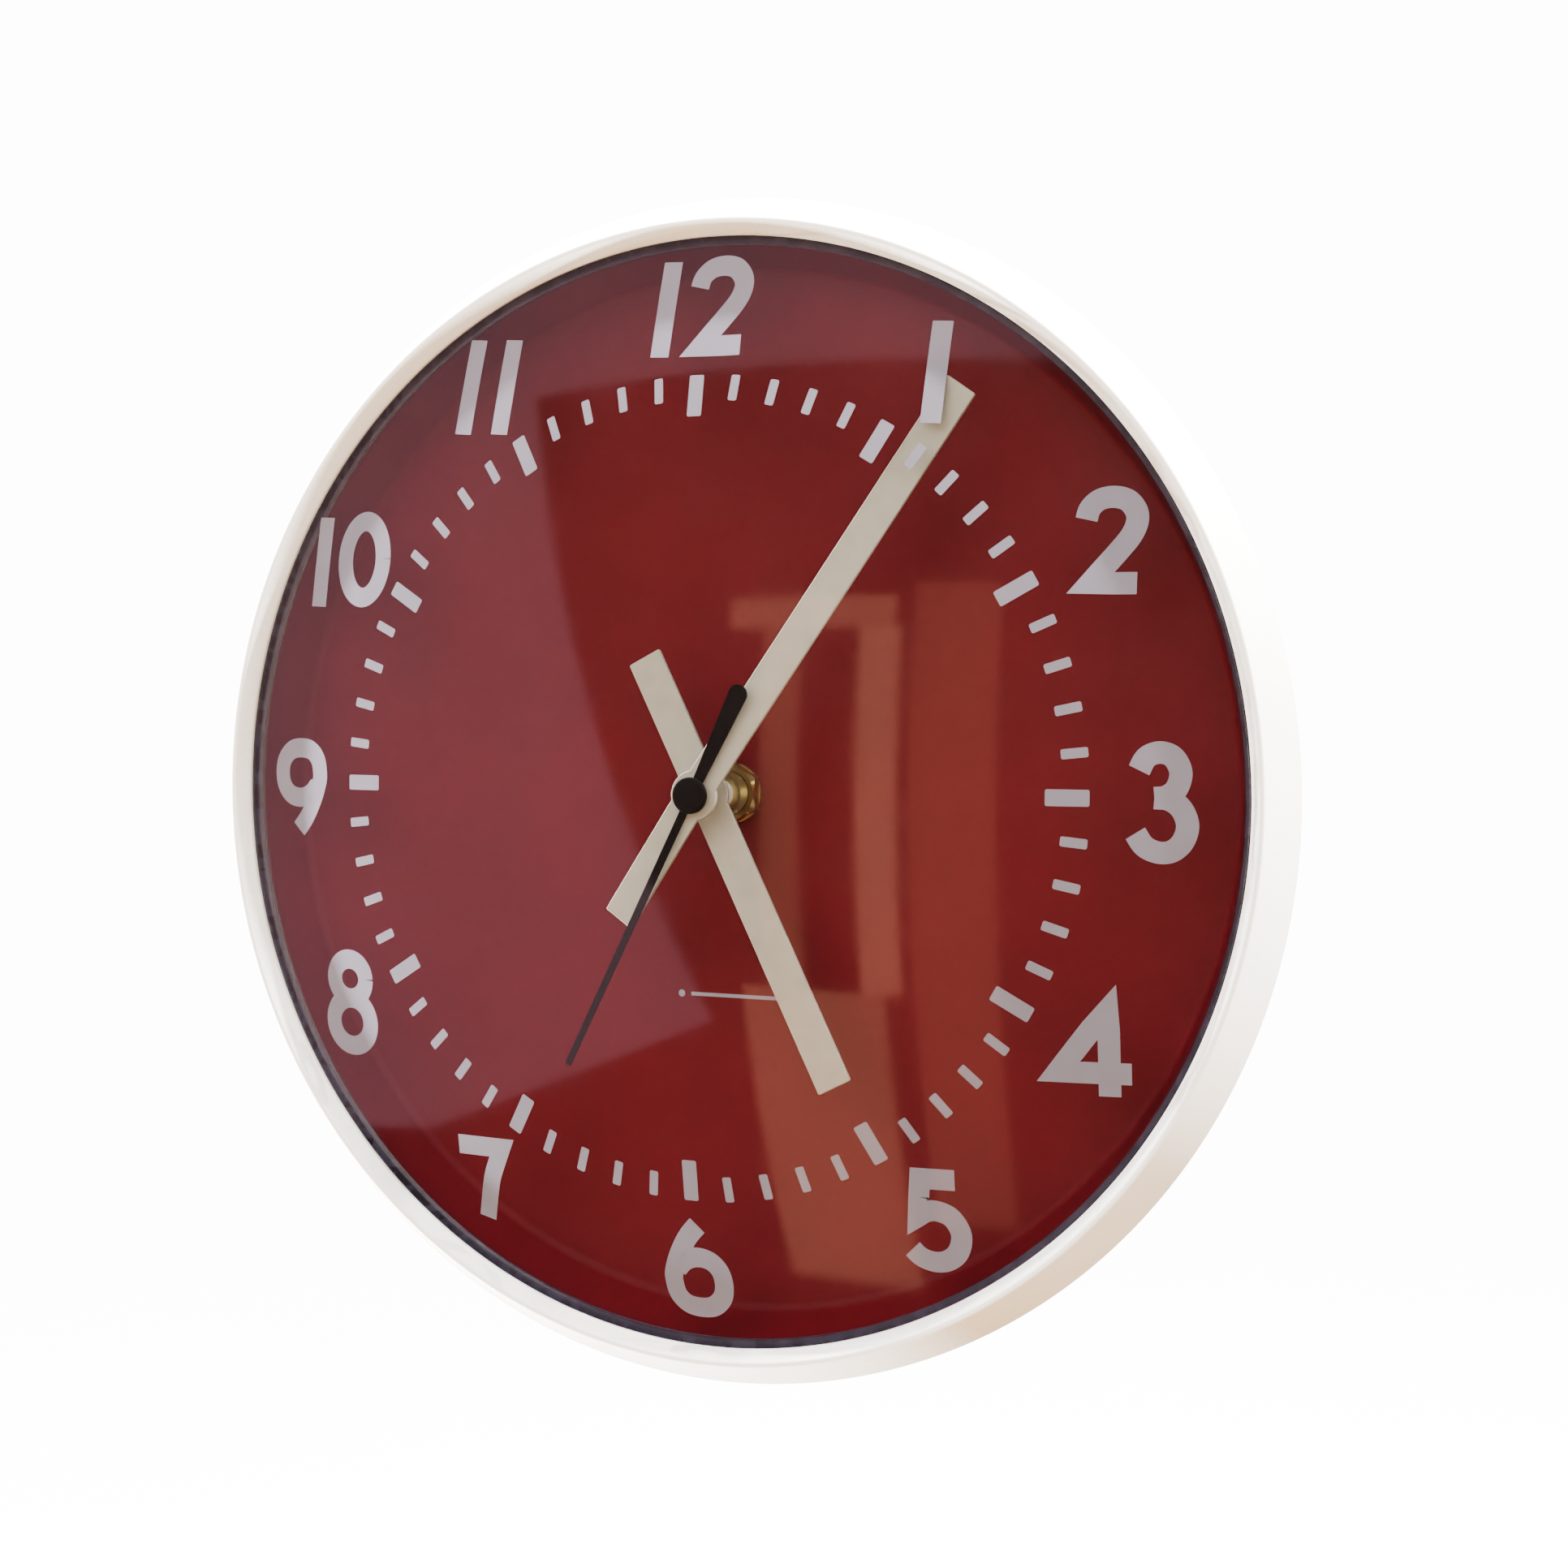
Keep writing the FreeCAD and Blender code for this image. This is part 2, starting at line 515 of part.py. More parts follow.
def rounded_box(name, corner, *planes):
    """Box with its four upright edges rounded."""
    block = box(f"{name}_block", *planes)
    doc.recompute()
    item = doc.addObject("Part::Fillet", name)
    item.Base = block
    item.Edges = [(edge, num(corner), num(corner)) for edge in (1, 3, 5, 7)]
    return item


# Case


def make_rear_case():
    body = turn_outline("rear_case", [
        ("0", "0"), ("rear_radius", "0"), ("side_radius", "rim_foot"), ("rim_radius", "rim_foot"),
        ("rim_radius", "rim_top"), ("rim_inside", "rim_top"), ("rim_inside", "rim_inside_foot"),
        ("side_inside", "side_inside_top"), ("rear_inside", "back_wall"), ("0", "back_wall")])
    round_circles(body, [("rear_radius", "0")], 1.5)
    window = new_sketch(body, "access_window", "XY_Plane")
    draw_rectangle(window, "-half_window", "half_window", "-half_window", "half_window")
    pocket_forward(body, window, "back_wall")
    entry = new_sketch(body, "keyhole_entry", "XY_Plane")
    draw_circle(entry, "0", "entry_y", "entry_radius")
    pocket_forward(body, entry, "back_wall")
    slot = new_sketch(body, "keyhole_slot", "XY_Plane")
    draw_rectangle(slot, "-half_slot", "half_slot", "entry_y", "hang_height")
    pocket_forward(body, slot, "back_wall")
    end = new_sketch(body, "keyhole_end", "XY_Plane")
    draw_circle(end, "0", "hang_height", "half_slot")
    pocket_forward(body, end, "back_wall")
    keep("rear_case", body)


def make_bezel():
    body = turn_outline("bezel_ring", [
        ("sight_radius", "lens_front"), ("sight_radius", "lip_top"), ("crest_inside", "bezel_crest"),
        ("crest_radius", "bezel_crest"), ("overall_radius", "edge_top"), ("edge_radius", "bezel_back"),
        ("flare_inside", "bezel_back"), ("skirt_outside", "skirt_web"), ("skirt_outside", "bead_bottom"),
        ("bead_radius", "bead_bottom"), ("bead_radius", "bead_top"), ("skirt_inside", "bead_top"),
        ("skirt_inside", "lens_front")])
    round_circles(body, [("crest_inside", "bezel_crest"), ("crest_radius", "bezel_crest")], 0.4)
    keep("bezel_ring", body)


def make_lens():
    body = turn_outline("lens", [
        ("0", "lens_top"), ("dome_outside", "dome_outside_foot"), ("dome_outside", "lens_front"),
        ("lens_radius", "lens_front"), ("lens_radius", "lens_seat"), ("dome_radius", "lens_seat"),
        ("dome_radius", "dome_foot"), ("0", "lens_apex")], bulges=(0, 6))
    keep("lens", body)


def make_dial():
    body = turn_outline("dial", [
        ("dial_hole", "dial_back"), ("dial_outside", "dial_back"), ("sight_radius", "rim_top"),
        ("lens_radius", "rim_top"), ("lens_radius", "dial_flange"), ("dial_wall_top", "dial_flange"),
        ("dial_floor_radius", "dial_floor"), ("dial_hole", "dial_floor")])
    round_circles(body, [("dial_floor_radius", "dial_floor")], 2.0)
    round_circles(body, [("dial_outside", "dial_back")], 2.4)
    keep("dial", body)


# Movement housings and fixings

# End, right of and above the middle, of the board's holes and of the posts under them.
BOARD_HOLES = [("low", "board_left + post_inset", "board_low + post_inset"),
               ("high", "board_right - post_inset", "board_high - post_inset")]


def make_back_housing():
    shell = rounded_box("back_housing_shell", "movement_wall", "-half_movement", "half_movement",
                        "-half_movement", "half_movement", "movement_back", "housing_split")
    train = box("back_train_space", "-half_inside", "half_inside", "train_bottom", "half_inside",
                "floor_inside", "housing_split")
    bay = box("back_battery_bay", "-half_inside", "half_inside", "bay_bottom", "bay_top",
              "movement_back", "housing_split")
    posts = [cylinder(f"pillar_{side}_{level}", "pillar_radius", "floor_inside", "plate_back", x, y)
             for side, x in (("left", "-pillar_x"), ("right", "pillar_x"))
             for level, y in (("low", "pillar_low"), ("high", "pillar_high"))]
    posts += [cylinder(f"stator_post_{end}", "post_radius", "floor_inside", "stator_back",
                       "stator_left + post_inset", y)
              for end, y in (("low", "core_low + post_inset"), ("high", "core_high - post_inset"))]
    posts += [cylinder(f"board_post_{end}", "post_radius", "floor_inside", "board_back", x, y)
              for end, x, y in BOARD_HOLES]
    foot = "floor_inside - pivot_hole_depth"
    holes = [cylinder(f"back_pivot_{name}", "pivot_radius + running", foot, "floor_inside",
                      f"{name}_x", f"{name}_y") for name in ("third", "fifth", "rotor")]
    holes.append(cylinder("back_pivot_seconds", "pivot_radius + running", foot, "floor_inside"))
    holes.append(cylinder("back_setting_hole", "setting_radius + running", "movement_back", "floor_inside",
                          "setting_x", "setting_y"))
    hollow = cut("back_housing_hollow", shell, train, bay)
    keep("movement_back_housing", cut("back_housing_cut", fuse("back_housing_posts", hollow, *posts), *holes))


def make_front_housing():
    shell = rounded_box("front_housing_shell", "movement_wall", "-half_movement", "half_movement",
                        "-half_movement", "half_movement", "housing_split", "movement_front")
    train = box("front_train_space", "-half_inside", "half_inside", "train_bottom", "half_inside",
                "housing_split", "front_inside")
    bay = box("front_battery_bay", "-half_inside", "half_inside", "bay_bottom", "bay_top",
              "housing_split", "front_inside")
    holes = [cylinder(f"front_pivot_{name}", "pivot_radius + running", "front_inside",
                      "front_inside + pivot_hole_depth", f"{name}_x", f"{name}_y")
             for name in ("motion", "setting")]
    holes.append(cylinder("bushing_hole", "thread_radius", "front_inside", "movement_front"))
    keep("movement_front_housing", cut("front_housing_cut", shell, train, bay, *holes))


def make_gear_plate():
    sheet = box("gear_plate_sheet", "plate_gap - half_inside", "half_inside - plate_gap",
                "train_bottom + plate_gap", "half_inside - plate_gap", "plate_back", "plate_front")
    holes = [cylinder(f"plate_pivot_{name}", "pivot_radius + running", "plate_back", "plate_front",
                      f"{name}_x", f"{name}_y") for name in ("third", "fifth", "rotor", "motion")]
    holes.append(cylinder("plate_pipe_hole", "minute_pipe + running", "plate_back", "plate_front"))
    holes.append(cylinder("plate_setting_hole", "setting_radius + running", "plate_back", "plate_front",
                          "setting_x", "setting_y"))
    keep("gear_plate", cut("gear_plate_cut", sheet, *holes))


def make_fixings():
    back = "front_inside - bushing_head"
    barrel = cylinder("bushing_barrel", "thread_radius", back, "bushing_end")
    flange = cylinder("bushing_flange_disc", "bushing_flange", back, "front_inside")
    bore = cylinder("bushing_bore", "hour_pipe + running", back, "bushing_end")
    keep("threaded_bushing", cut("bushing_cut", fuse("bushing_solid", barrel, flange), bore))
    ring("rubber_washer", "dial_hole", "2.4 * thread_radius", "movement_front", "dial_back")
    ring("brass_washer", "dial_hole", "washer_radius", "dial_floor", "dial_floor + washer_sheet")
    ring("lens_gasket", "dome_radius", "lens_radius", "dial_flange", "lens_seat")
    prism = doc.addObject("Part::Prism", "nut_prism")
    prism.Polygon = 6
    prism.setExpression("Circumradius", formula("nut_flats / (2 * cos(30))"))
    prism.setExpression("Height", formula("nut_height"))
    prism.Placement.Rotation = FreeCAD.Rotation(Vector(0, 0, 1), 30)
    prism.setExpression("Placement.Base.z", formula("dial_floor + washer_sheet"))
    hole = cylinder("nut_hole", "thread_radius", "dial_floor + washer_sheet",
                    "dial_floor + washer_sheet + nut_height")
    keep("hex_nut", cut("nut_cut", prism, hole))


# Electrical parts


def make_battery():
    can = lying(cylinder("battery_can", "battery_radius", "battery_z", "battery_z + battery_can",
                         "battery_x", "battery_y"), "x")
    nub = lying(cylinder("battery_nub", "nub_radius", "battery_z", "battery_z + battery_nub",
                         "battery_x + battery_can", "battery_y"), "x")
    keep("battery", fuse("battery_solid", can, nub))


def make_contacts():
    sheet = ("battery_y - contact_half", "battery_y + contact_half", "battery_z - contact_reach",
             "battery_z + contact_reach")
    strip = box("contact_positive_sheet", "half_inside - contact_sheet", "half_inside", *sheet)
    eyelet = lying(cylinder("contact_eyelet", "hole_radius", "battery_z + 3.5", "battery_z + 4.5",
                            "half_inside - 1", "battery_y"), "x")
    keep("contact_positive", cut("contact_positive_cut", strip, eyelet))
    plate = box("contact_negative_sheet", "-half_inside", "contact_sheet - half_inside", *sheet)
    spring = doc.addObject("Part::Cone", "contact_spring")
    spring.setExpression("Radius1", formula("spring_foot"))
    spring.setExpression("Radius2", formula("spring_tip"))
    spring.setExpression("Height", formula("contact_cone"))
    lying(spring, "x")
    for axis, text in (("x", "contact_sheet - half_inside"), ("y", "battery_y"), ("z", "battery_z")):
        spring.setExpression(f"Placement.Base.{axis}", formula(text))
    keep("contact_negative", fuse("contact_negative_solid", plate, spring))


def make_motor():
    front = "stator_back + lamination"
    core = box("coil_core_bar", "coil_x - core_width / 2", "coil_x + core_width / 2", "core_low", "core_high",
               "core_back", "stator_back")
    rivets = [cylinder(f"core_rivet_{end}", "hole_radius", "core_back", "stator_back", "coil_x", y)
              for end, y in (("low", "core_low + stator_arm / 2"), ("high", "core_high - stator_arm / 2"))]
    keep("coil_core", cut("coil_core_cut", core, *rivets))
    plate = box("stator_bar", "stator_left", "stator_right", "core_low", "core_high", "stator_back", front)
    arms = [box(f"stator_arm_{end}", "coil_x - tube_width / 2", "stator_left", start, stop, "stator_back", front)
            for end, start, stop in (("low", "core_low", "core_low + stator_arm"),
                                     ("high", "core_high - stator_arm", "core_high"))]
    bore = cylinder("stator_bore", "magnet_radius + air_gap", "stator_back", front, "rotor_x", "rotor_y")
    notch = cylinder("stator_notch", "arbor_radius + air_gap", "stator_back", front, "fifth_x", "fifth_y")
    keep("stator", cut("stator_cut", fuse("stator_solid", plate, *arms), bore, notch))
    make_coil()


def make_coil():
    """Bobbin on the core, with a sheet at each end, and the copper wound between them."""
    tube = ("coil_x - tube_width / 2", "coil_x + tube_width / 2", "coil_low", "coil_high",
            "coil_z - tube_height / 2", "coil_z + tube_height / 2")
    ends = [lying(cylinder(f"bobbin_flange_{end}", "flange_radius", "coil_z", "coil_z + bobbin_sheet", "coil_x",
                           start), "y")
            for end, start in (("low", "coil_low"), ("high", "coil_high - bobbin_sheet"))]
    slot = box("bobbin_slot", "coil_x - core_width / 2", "coil_x + core_width / 2", "coil_low", "coil_high",
               "core_back", "stator_back")
    keep("coil_bobbin", cut("coil_bobbin_cut", fuse("bobbin_solid", box("bobbin_tube", *tube), *ends), slot))
    copper = lying(cylinder("winding_roll", "coil_radius", "coil_z",
                            "coil_z + coil_high - coil_low - 2 * bobbin_sheet", "coil_x",
                            "coil_low + bobbin_sheet"), "y")
    keep("coil_winding", cut("coil_winding_cut", copper, box("winding_core", *tube)))


def make_board():
    top = "board_back + board_sheet"
    sheet = box("circuit_board_sheet", "board_left", "board_right", "board_low", "board_high", "board_back", top)
    holes = [cylinder(f"board_hole_{end}", "hole_radius", "board_back", top, x, y) for end, x, y in BOARD_HOLES]
    keep("circuit_board", cut("circuit_board_cut", sheet, *holes))
    axis, start = f"{top} + crystal_radius", "board_low + 2 * post_inset + crystal_foot"
    can = lying(cylinder("crystal_tube", "crystal_radius", axis, f"{axis} + crystal_length", "crystal_x", start),
                "y")
    foot = lying(cylinder("crystal_base", "0.8 * crystal_radius", axis, f"{axis} + crystal_foot", "crystal_x",
                          f"{start} - crystal_foot"), "y")
    keep("quartz_crystal", fuse("quartz_crystal_solid", can, foot))
    step = f"{top} + 0.6 * chip_height"
    disc = cylinder("chip_cover_disc", "chip_radius", top, step, "chip_x", "chip_y")
    crown = cylinder("chip_cover_crown", "0.73 * chip_radius", step, f"{top} + chip_height", "chip_x", "chip_y")
    keep("chip_cover", fuse("chip_cover_solid", disc, crown))


# Hands


def make_hour_hand():
    blade = box("hour_blade", "-hour_width / 2", "hour_width / 2", "-hour_tail", "hour_length",
                "hour_front - hand_sheet", "hour_front")
    boss = cylinder("hour_boss_disc", "hour_boss", "hour_front - hand_sheet", "hour_front")
    hole = cylinder("hour_hand_hole", "hour_pipe", "hour_front - hand_sheet", "hour_front")
    keep("hour_hand", cut("hour_hand_cut", fuse("hour_hand_solid", blade, boss), hole), turned(num("hour_angle")))


def make_minute_hand():
    """The blade runs flat across the boss and then slopes back on both sides, which clears the dome."""
    plan = box("minute_plan", "-minute_width / 2", "minute_width / 2", "-minute_tail", "minute_length",
               "minute_boss_z - minute_drop", "minute_front")
    boss = cylinder("minute_boss_disc", "minute_boss", "minute_boss_z - minute_drop", "minute_front")
    profile = new_body("minute_profile")
    sketch = new_sketch(profile, "minute_side", "YZ_Plane")
    draw_outline(sketch, [
        ("-minute_tail", "minute_tail_low"), ("-minute_boss", "minute_boss_z"), ("minute_boss", "minute_boss_z"),
        ("minute_length", "minute_tip_low"), ("minute_length", "minute_tip_high"), ("minute_boss", "minute_front"),
        ("-minute_boss", "minute_front"), ("-minute_tail", "minute_tail_high")])
    solid = pad(profile, sketch, "2 * minute_boss")
    solid.Midplane = True
    blade = doc.addObject("Part::Common", "minute_blade")
    blade.Base = fuse("minute_plan_solid", plan, boss)
    blade.Tool = profile
    hole = cylinder("minute_hand_hole", "minute_pipe", "minute_boss_z", "minute_front")
    keep("minute_hand", cut("minute_hand_cut", blade, hole), turned(num("minute_angle")))


def make_second_hand():
    """Fine needle in front, and a tail that widens to a rounded end."""
    body = new_body("second_needle")
    sketch = new_sketch(body, "second_plan", "XY_Plane", "second_back")
    draw_outline(sketch, [
        ("-needle_half", "0"), ("-tail_half", "-second_tail_straight"), ("tail_half", "-second_tail_straight"),
        ("needle_half", "0"), ("needle_half", "second_length"), ("-needle_half", "second_length")])
    pad(body, sketch, "second_sheet")
    top = "second_back + second_sheet"
    end = cylinder("second_tail_end", "tail_half", "second_back", top, "0", "-second_tail_straight")
    hub = cylinder("second_hub", "cap_radius - 0.3", "second_back", top)
    hole = cylinder("second_hole", "arbor_radius", "second_back", top)
    keep("second_hand", cut("second_hand_cut", fuse("second_hand_solid", body, end, hub), hole),
         turned(num("second_angle")))
    cap = cylinder("second_cap_disc", "cap_radius", top, f"{top} + cap_height")
    socket = cylinder("second_cap_socket", "arbor_radius", top, f"{top} + cap_height - 0.4")
    doc.recompute()
    rounded = doc.addObject("Part::Fillet", "second_cap_round")
    rounded.Base = cap
    middle = num("second_back") + num("second_sheet") + num("cap_height") / 2
    rounded.Edges = [(number, 0.5, 0.5) for number, edge in enumerate(cap.Shape.Edges, 1)
                     if edge.Curve.TypeId == "Part::GeomCircle" and edge.Curve.Center.z > middle]
    keep("second_cap", cut("second_cap_cut", rounded, socket), turned(num("second_angle")))


# Wheels


def tooth_flank(root, tip, base_radius, half_angle, points=4):
    """Points of an involute flank from the base or root circle up to the tip, on the side of rising angle."""
    start = max(base_radius, root)
    flank = []
    for step in range(points):
        r = start + (tip - start) * step / (points - 1)
        roll = math.acos(min(1.0, base_radius / r))
        angle = half_angle - (math.tan(roll) - roll)
        flank.append(Vector(r * math.cos(angle), r * math.sin(angle), 0))
    return flank


def gear_face(teeth, module):
    """Flat toothed disc with the middle of one tooth on the +X axis."""
    pressure = math.radians(28)
    pitch_radius = module * teeth / 2
    root, tip = pitch_radius - 1.15 * module, pitch_radius + 0.85 * module
    base_radius = pitch_radius * math.cos(pressure)
    half_tooth = (math.pi * module - num("backlash")) / (4 * pitch_radius)
    flank = tooth_flank(root, tip, base_radius, half_tooth + math.tan(pressure) - pressure)
    mirror = [Vector(point.x, -point.y, 0) for point in flank]
    foot_angle = math.atan2(flank[0].y, flank[0].x)
    pitch_angle = 2 * math.pi / teeth
    outline = []
    for tooth in range(teeth):
        turn = FreeCAD.Rotation(Vector(0, 0, 1), math.degrees(tooth * pitch_angle))
        outline += tooth_edges([turn.multVec(point) for point in mirror], [turn.multVec(point) for point in flank],
                               root, tip, tooth * pitch_angle, foot_angle, pitch_angle)
    return Part.Face(Part.Wire(outline))


def polar(radius, angle):
    return Vector(radius * math.cos(angle), radius * math.sin(angle), 0)


def tooth_edges(rising, falling, root, tip, middle, foot_angle, pitch_angle):
    """Edges of one tooth and of the gap after it, in order."""
    foot, next_foot = polar(root, middle + foot_angle), polar(root, middle + pitch_angle - foot_angle)
    edges = []
    if rising[0].Length > root + 1e-6:
        edges.append(Part.LineSegment(polar(root, middle - foot_angle), rising[0]).toShape())
    edges.append(spline(rising))
    edges.append(Part.Arc(rising[-1], polar(tip, middle), falling[-1]).toShape())
    edges.append(spline(falling[::-1]))
    if falling[0].Length > root + 1e-6:
        edges.append(Part.LineSegment(falling[0], foot).toShape())
    edges.append(Part.Arc(foot, polar(root, middle + pitch_angle / 2), next_foot).toShape())
    return edges


def spline(points):
    curve = Part.BSplineCurve()
    curve.interpolate(points)
    return curve.toShape()


def toothed(teeth, module, low, high, phase):
    """Gear between two heights, with a tooth at the phase angle."""
    disc = gear_face(int(teeth), module).extrude(Vector(0, 0, high - low))
    disc.rotate(Vector(0, 0, 0), Vector(0, 0, 1), phase)
    disc.translate(Vector(0, 0, low))
    return disc


def rod(radius, low, high):
    return Part.makeCylinder(radius, high - low, Vector(0, 0, low))


def mate_phase(direction, teeth, mate_teeth, phase):
    """Phase of the mate that meshes with a gear whose tooth is at phase. The mate lies in that direction."""
    offset = (phase - direction) % (360 / teeth)
    return direction + 180 + 180 / mate_teeth - offset * teeth / mate_teeth


def keep_wheel(label, pieces, holes=(), arbor=None):
    """A moulded wheel from fused pieces, moved to its arbor."""
    shape = pieces[0].multiFuse(list(pieces[1:])).removeSplitter() if len(pieces) > 1 else pieces[0]
    for hole in holes:
        shape = shape.cut(hole)
    middle = Vector(num(f"{arbor}_x"), num(f"{arbor}_y"), 0) if arbor else Vector(0, 0, 0)
    item = doc.addObject("Part::Feature", label)
    item.Shape = shape
    keep(label, item, CLOCK_FRAME.multiply(FreeCAD.Placement(middle, FreeCAD.Rotation())))


def arbor_rods(low, high):
    """Arbor with a thin pivot at each end, for a wheel between the back housing and the gear plate."""
    pivot = num("pivot_radius")
    return [rod(num("arbor_radius"), low, high), rod(pivot, low - 0.75, low), rod(pivot, high, high + 0.8)]


def make_train():
    """Rotor, fifth, seconds, third and centre wheels. Each pinion starts where its own mate leaves it in mesh."""
    sheet, arbor = num("wheel_sheet"), num("arbor_radius")
    floor, plate = num("floor_inside"), num("plate_back")
    train, small, centre = num("module_train"), num("module_rotor"), num("module_centre")
    coarse = num("module_fifth")
    leaves = num("pinion_teeth")
    seconds, third, centre_at = num("seconds_layer"), num("third_layer"), num("centre_layer")
    magnet = num("magnet_back")

    pinion_end = third + sheet + 0.3
    keep_wheel("seconds_wheel", [toothed(num("seconds_teeth"), coarse, seconds, seconds + sheet, 0),
                                 toothed(leaves, train, seconds + sheet, pinion_end, 0)],
               [rod(arbor, seconds, pinion_end)])

    fifth_pinion = mate_phase(num("fifth_angle"), num("seconds_teeth"), leaves, 0)
    rods = arbor_rods(floor + 0.2, plate - 0.2)
    keep_wheel("fifth_wheel", [toothed(num("fifth_teeth"), small, third, third + sheet, 0),
                               toothed(leaves, coarse, seconds - 0.3, third, fifth_pinion), *rods], arbor="fifth")

    rotor_pinion = mate_phase(num("rotor_angle"), num("fifth_teeth"), leaves, 0)
    keep_wheel("rotor_pinion", [toothed(leaves, small, third - 0.6, magnet, rotor_pinion), *rods], arbor="rotor")
    keep_wheel("rotor_magnet", [rod(num("magnet_radius"), magnet, magnet + num("magnet_height"))],
               [rod(arbor, magnet, magnet + num("magnet_height"))], arbor="rotor")

    third_phase = mate_phase(num("third_angle"), leaves, num("third_teeth"), 0)
    keep_wheel("third_wheel", [toothed(num("third_teeth"), train, third, third + sheet, third_phase),
                               toothed(leaves, centre, third + sheet, centre_at + sheet + 0.7, 0), *rods],
               arbor="third")

    centre_phase = mate_phase(num("third_angle") + 180, leaves, num("centre_teeth"), 0)
    hub_back, hub_front = centre_at - 0.4, centre_at + sheet + 0.9
    keep_wheel("centre_wheel", [toothed(num("centre_teeth"), centre, centre_at, centre_at + sheet, centre_phase),
                                rod(num("minute_pipe") + 1, hub_back, hub_front)],
               [rod(num("minute_pipe"), hub_back, hub_front)])


def make_motion_works():
    """Minute pipe, motion wheel, hour wheel and setting shaft."""
    sheet, pipe, motion = num("wheel_sheet"), num("minute_pipe"), num("module_motion")
    at, hour_at = num("motion_layer"), num("hour_layer")
    back, gap = num("centre_layer") - 0.4, num("running")
    direction = num("motion_angle")

    pinion_back, pinion_front = num("plate_front") + 0.4, hour_at - 0.5
    minute_top = num("minute_front") + 0.2
    keep_wheel("minute_pipe", [rod(pipe, back, pinion_back), rod(pipe, pinion_front, minute_top),
                               toothed(num("minute_teeth"), motion, pinion_back, pinion_front, 0)],
               [rod(num("arbor_radius") + gap, back, minute_top)])

    motion_phase = mate_phase(direction, num("minute_teeth"), num("motion_teeth"), 0)
    pinion_top, front = hour_at + sheet + 0.2, num("front_inside")
    pivot, plate = num("pivot_radius"), num("plate_front")
    keep_wheel("motion_wheel", [toothed(num("motion_teeth"), motion, at, at + sheet, motion_phase),
                                toothed(num("motion_pinion_teeth"), num("module_hour"), at + sheet, pinion_top, 0),
                                rod(0.7, plate + 0.3, front - 0.3), rod(pivot, plate - 0.7, plate + 0.3),
                                rod(pivot, front - 0.3, front + 0.5)], arbor="motion")

    hour_phase = mate_phase(direction + 180, num("motion_pinion_teeth"), num("hour_teeth"), 0)
    hour_top = num("hour_front") + 0.2
    keep_wheel("hour_wheel", [toothed(num("hour_teeth"), num("module_hour"), hour_at, hour_at + sheet, hour_phase),
                              rod(num("hour_pipe"), hour_at, hour_top)], [rod(pipe + gap, hour_at, hour_top)])

    setting_phase = mate_phase(direction, num("motion_teeth"), num("setting_teeth"), motion_phase)
    knob_back = num("movement_back") - 0.2 - num("knob_height")
    keep_wheel("setting_shaft", [toothed(num("setting_teeth"), motion, at - 0.2, at + sheet + 0.3, setting_phase),
                                 rod(num("setting_radius"), knob_back + 0.6, front - 0.3),
                                 rod(pivot, front - 0.3, front + 0.5)], arbor="setting")


def make_setting_knob():
    """Thumb wheel with a scalloped edge."""
    back = num("movement_back") - 0.2 - num("knob_height")
    front = num("movement_back") - 0.2
    scallops = 16
    holes = [rod(num("setting_radius"), back + 0.6, front)]
    for number in range(scallops):
        scallop = rod(0.7, back, front)
        scallop.translate(polar(num("knob_radius") + 0.3, 2 * math.pi * number / scallops))
        holes.append(scallop)
    keep_wheel("setting_knob", [rod(num("knob_radius"), back, front)], holes, arbor="setting")


def make_seconds_arbor():
    low, high = "floor_inside + 0.3", "second_back + second_sheet + cap_height - 0.4"
    pivot = cylinder("seconds_pivot", "pivot_radius", "floor_inside - 0.5", low)
    keep("seconds_arbor", fuse("seconds_arbor_solid", cylinder("seconds_rod", "arbor_radius", low, high), pivot))


def write_steps():
    """Stop on any failed object or bad shape, then write one file for each node."""
    doc.recompute()
    failed = [item.Name for item in doc.Objects if {"Invalid", "Error"} & set(item.State)]
    if failed:
        raise RuntimeError(f"objects failed: {failed}")
    for label, item in nodes.items():
        if item.Shape.isNull() or not item.Shape.isValid():
            raise RuntimeError(f"{label} has no valid shape")
    os.makedirs("parts", exist_ok=True)
    for label, item in nodes.items():
        item.Shape.exportStep(os.path.join("parts", f"{label}.step"))
        print(f"{label:24s} solids {len(item.Shape.Solids)}  volume {item.Shape.Volume:10.2f} mm3")


make_rear_case()
make_bezel()
make_lens()
make_dial()
make_back_housing()
make_front_housing()
make_gear_plate()
make_fixings()
make_battery()
make_contacts()
make_motor()
make_board()
make_train()
make_motion_works()
make_setting_knob()
make_seconds_arbor()
make_hour_hand()
make_minute_hand()
make_second_hand()
write_steps()
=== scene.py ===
import json
import math

import bmesh
import bpy
from mathutils import Matrix, Vector


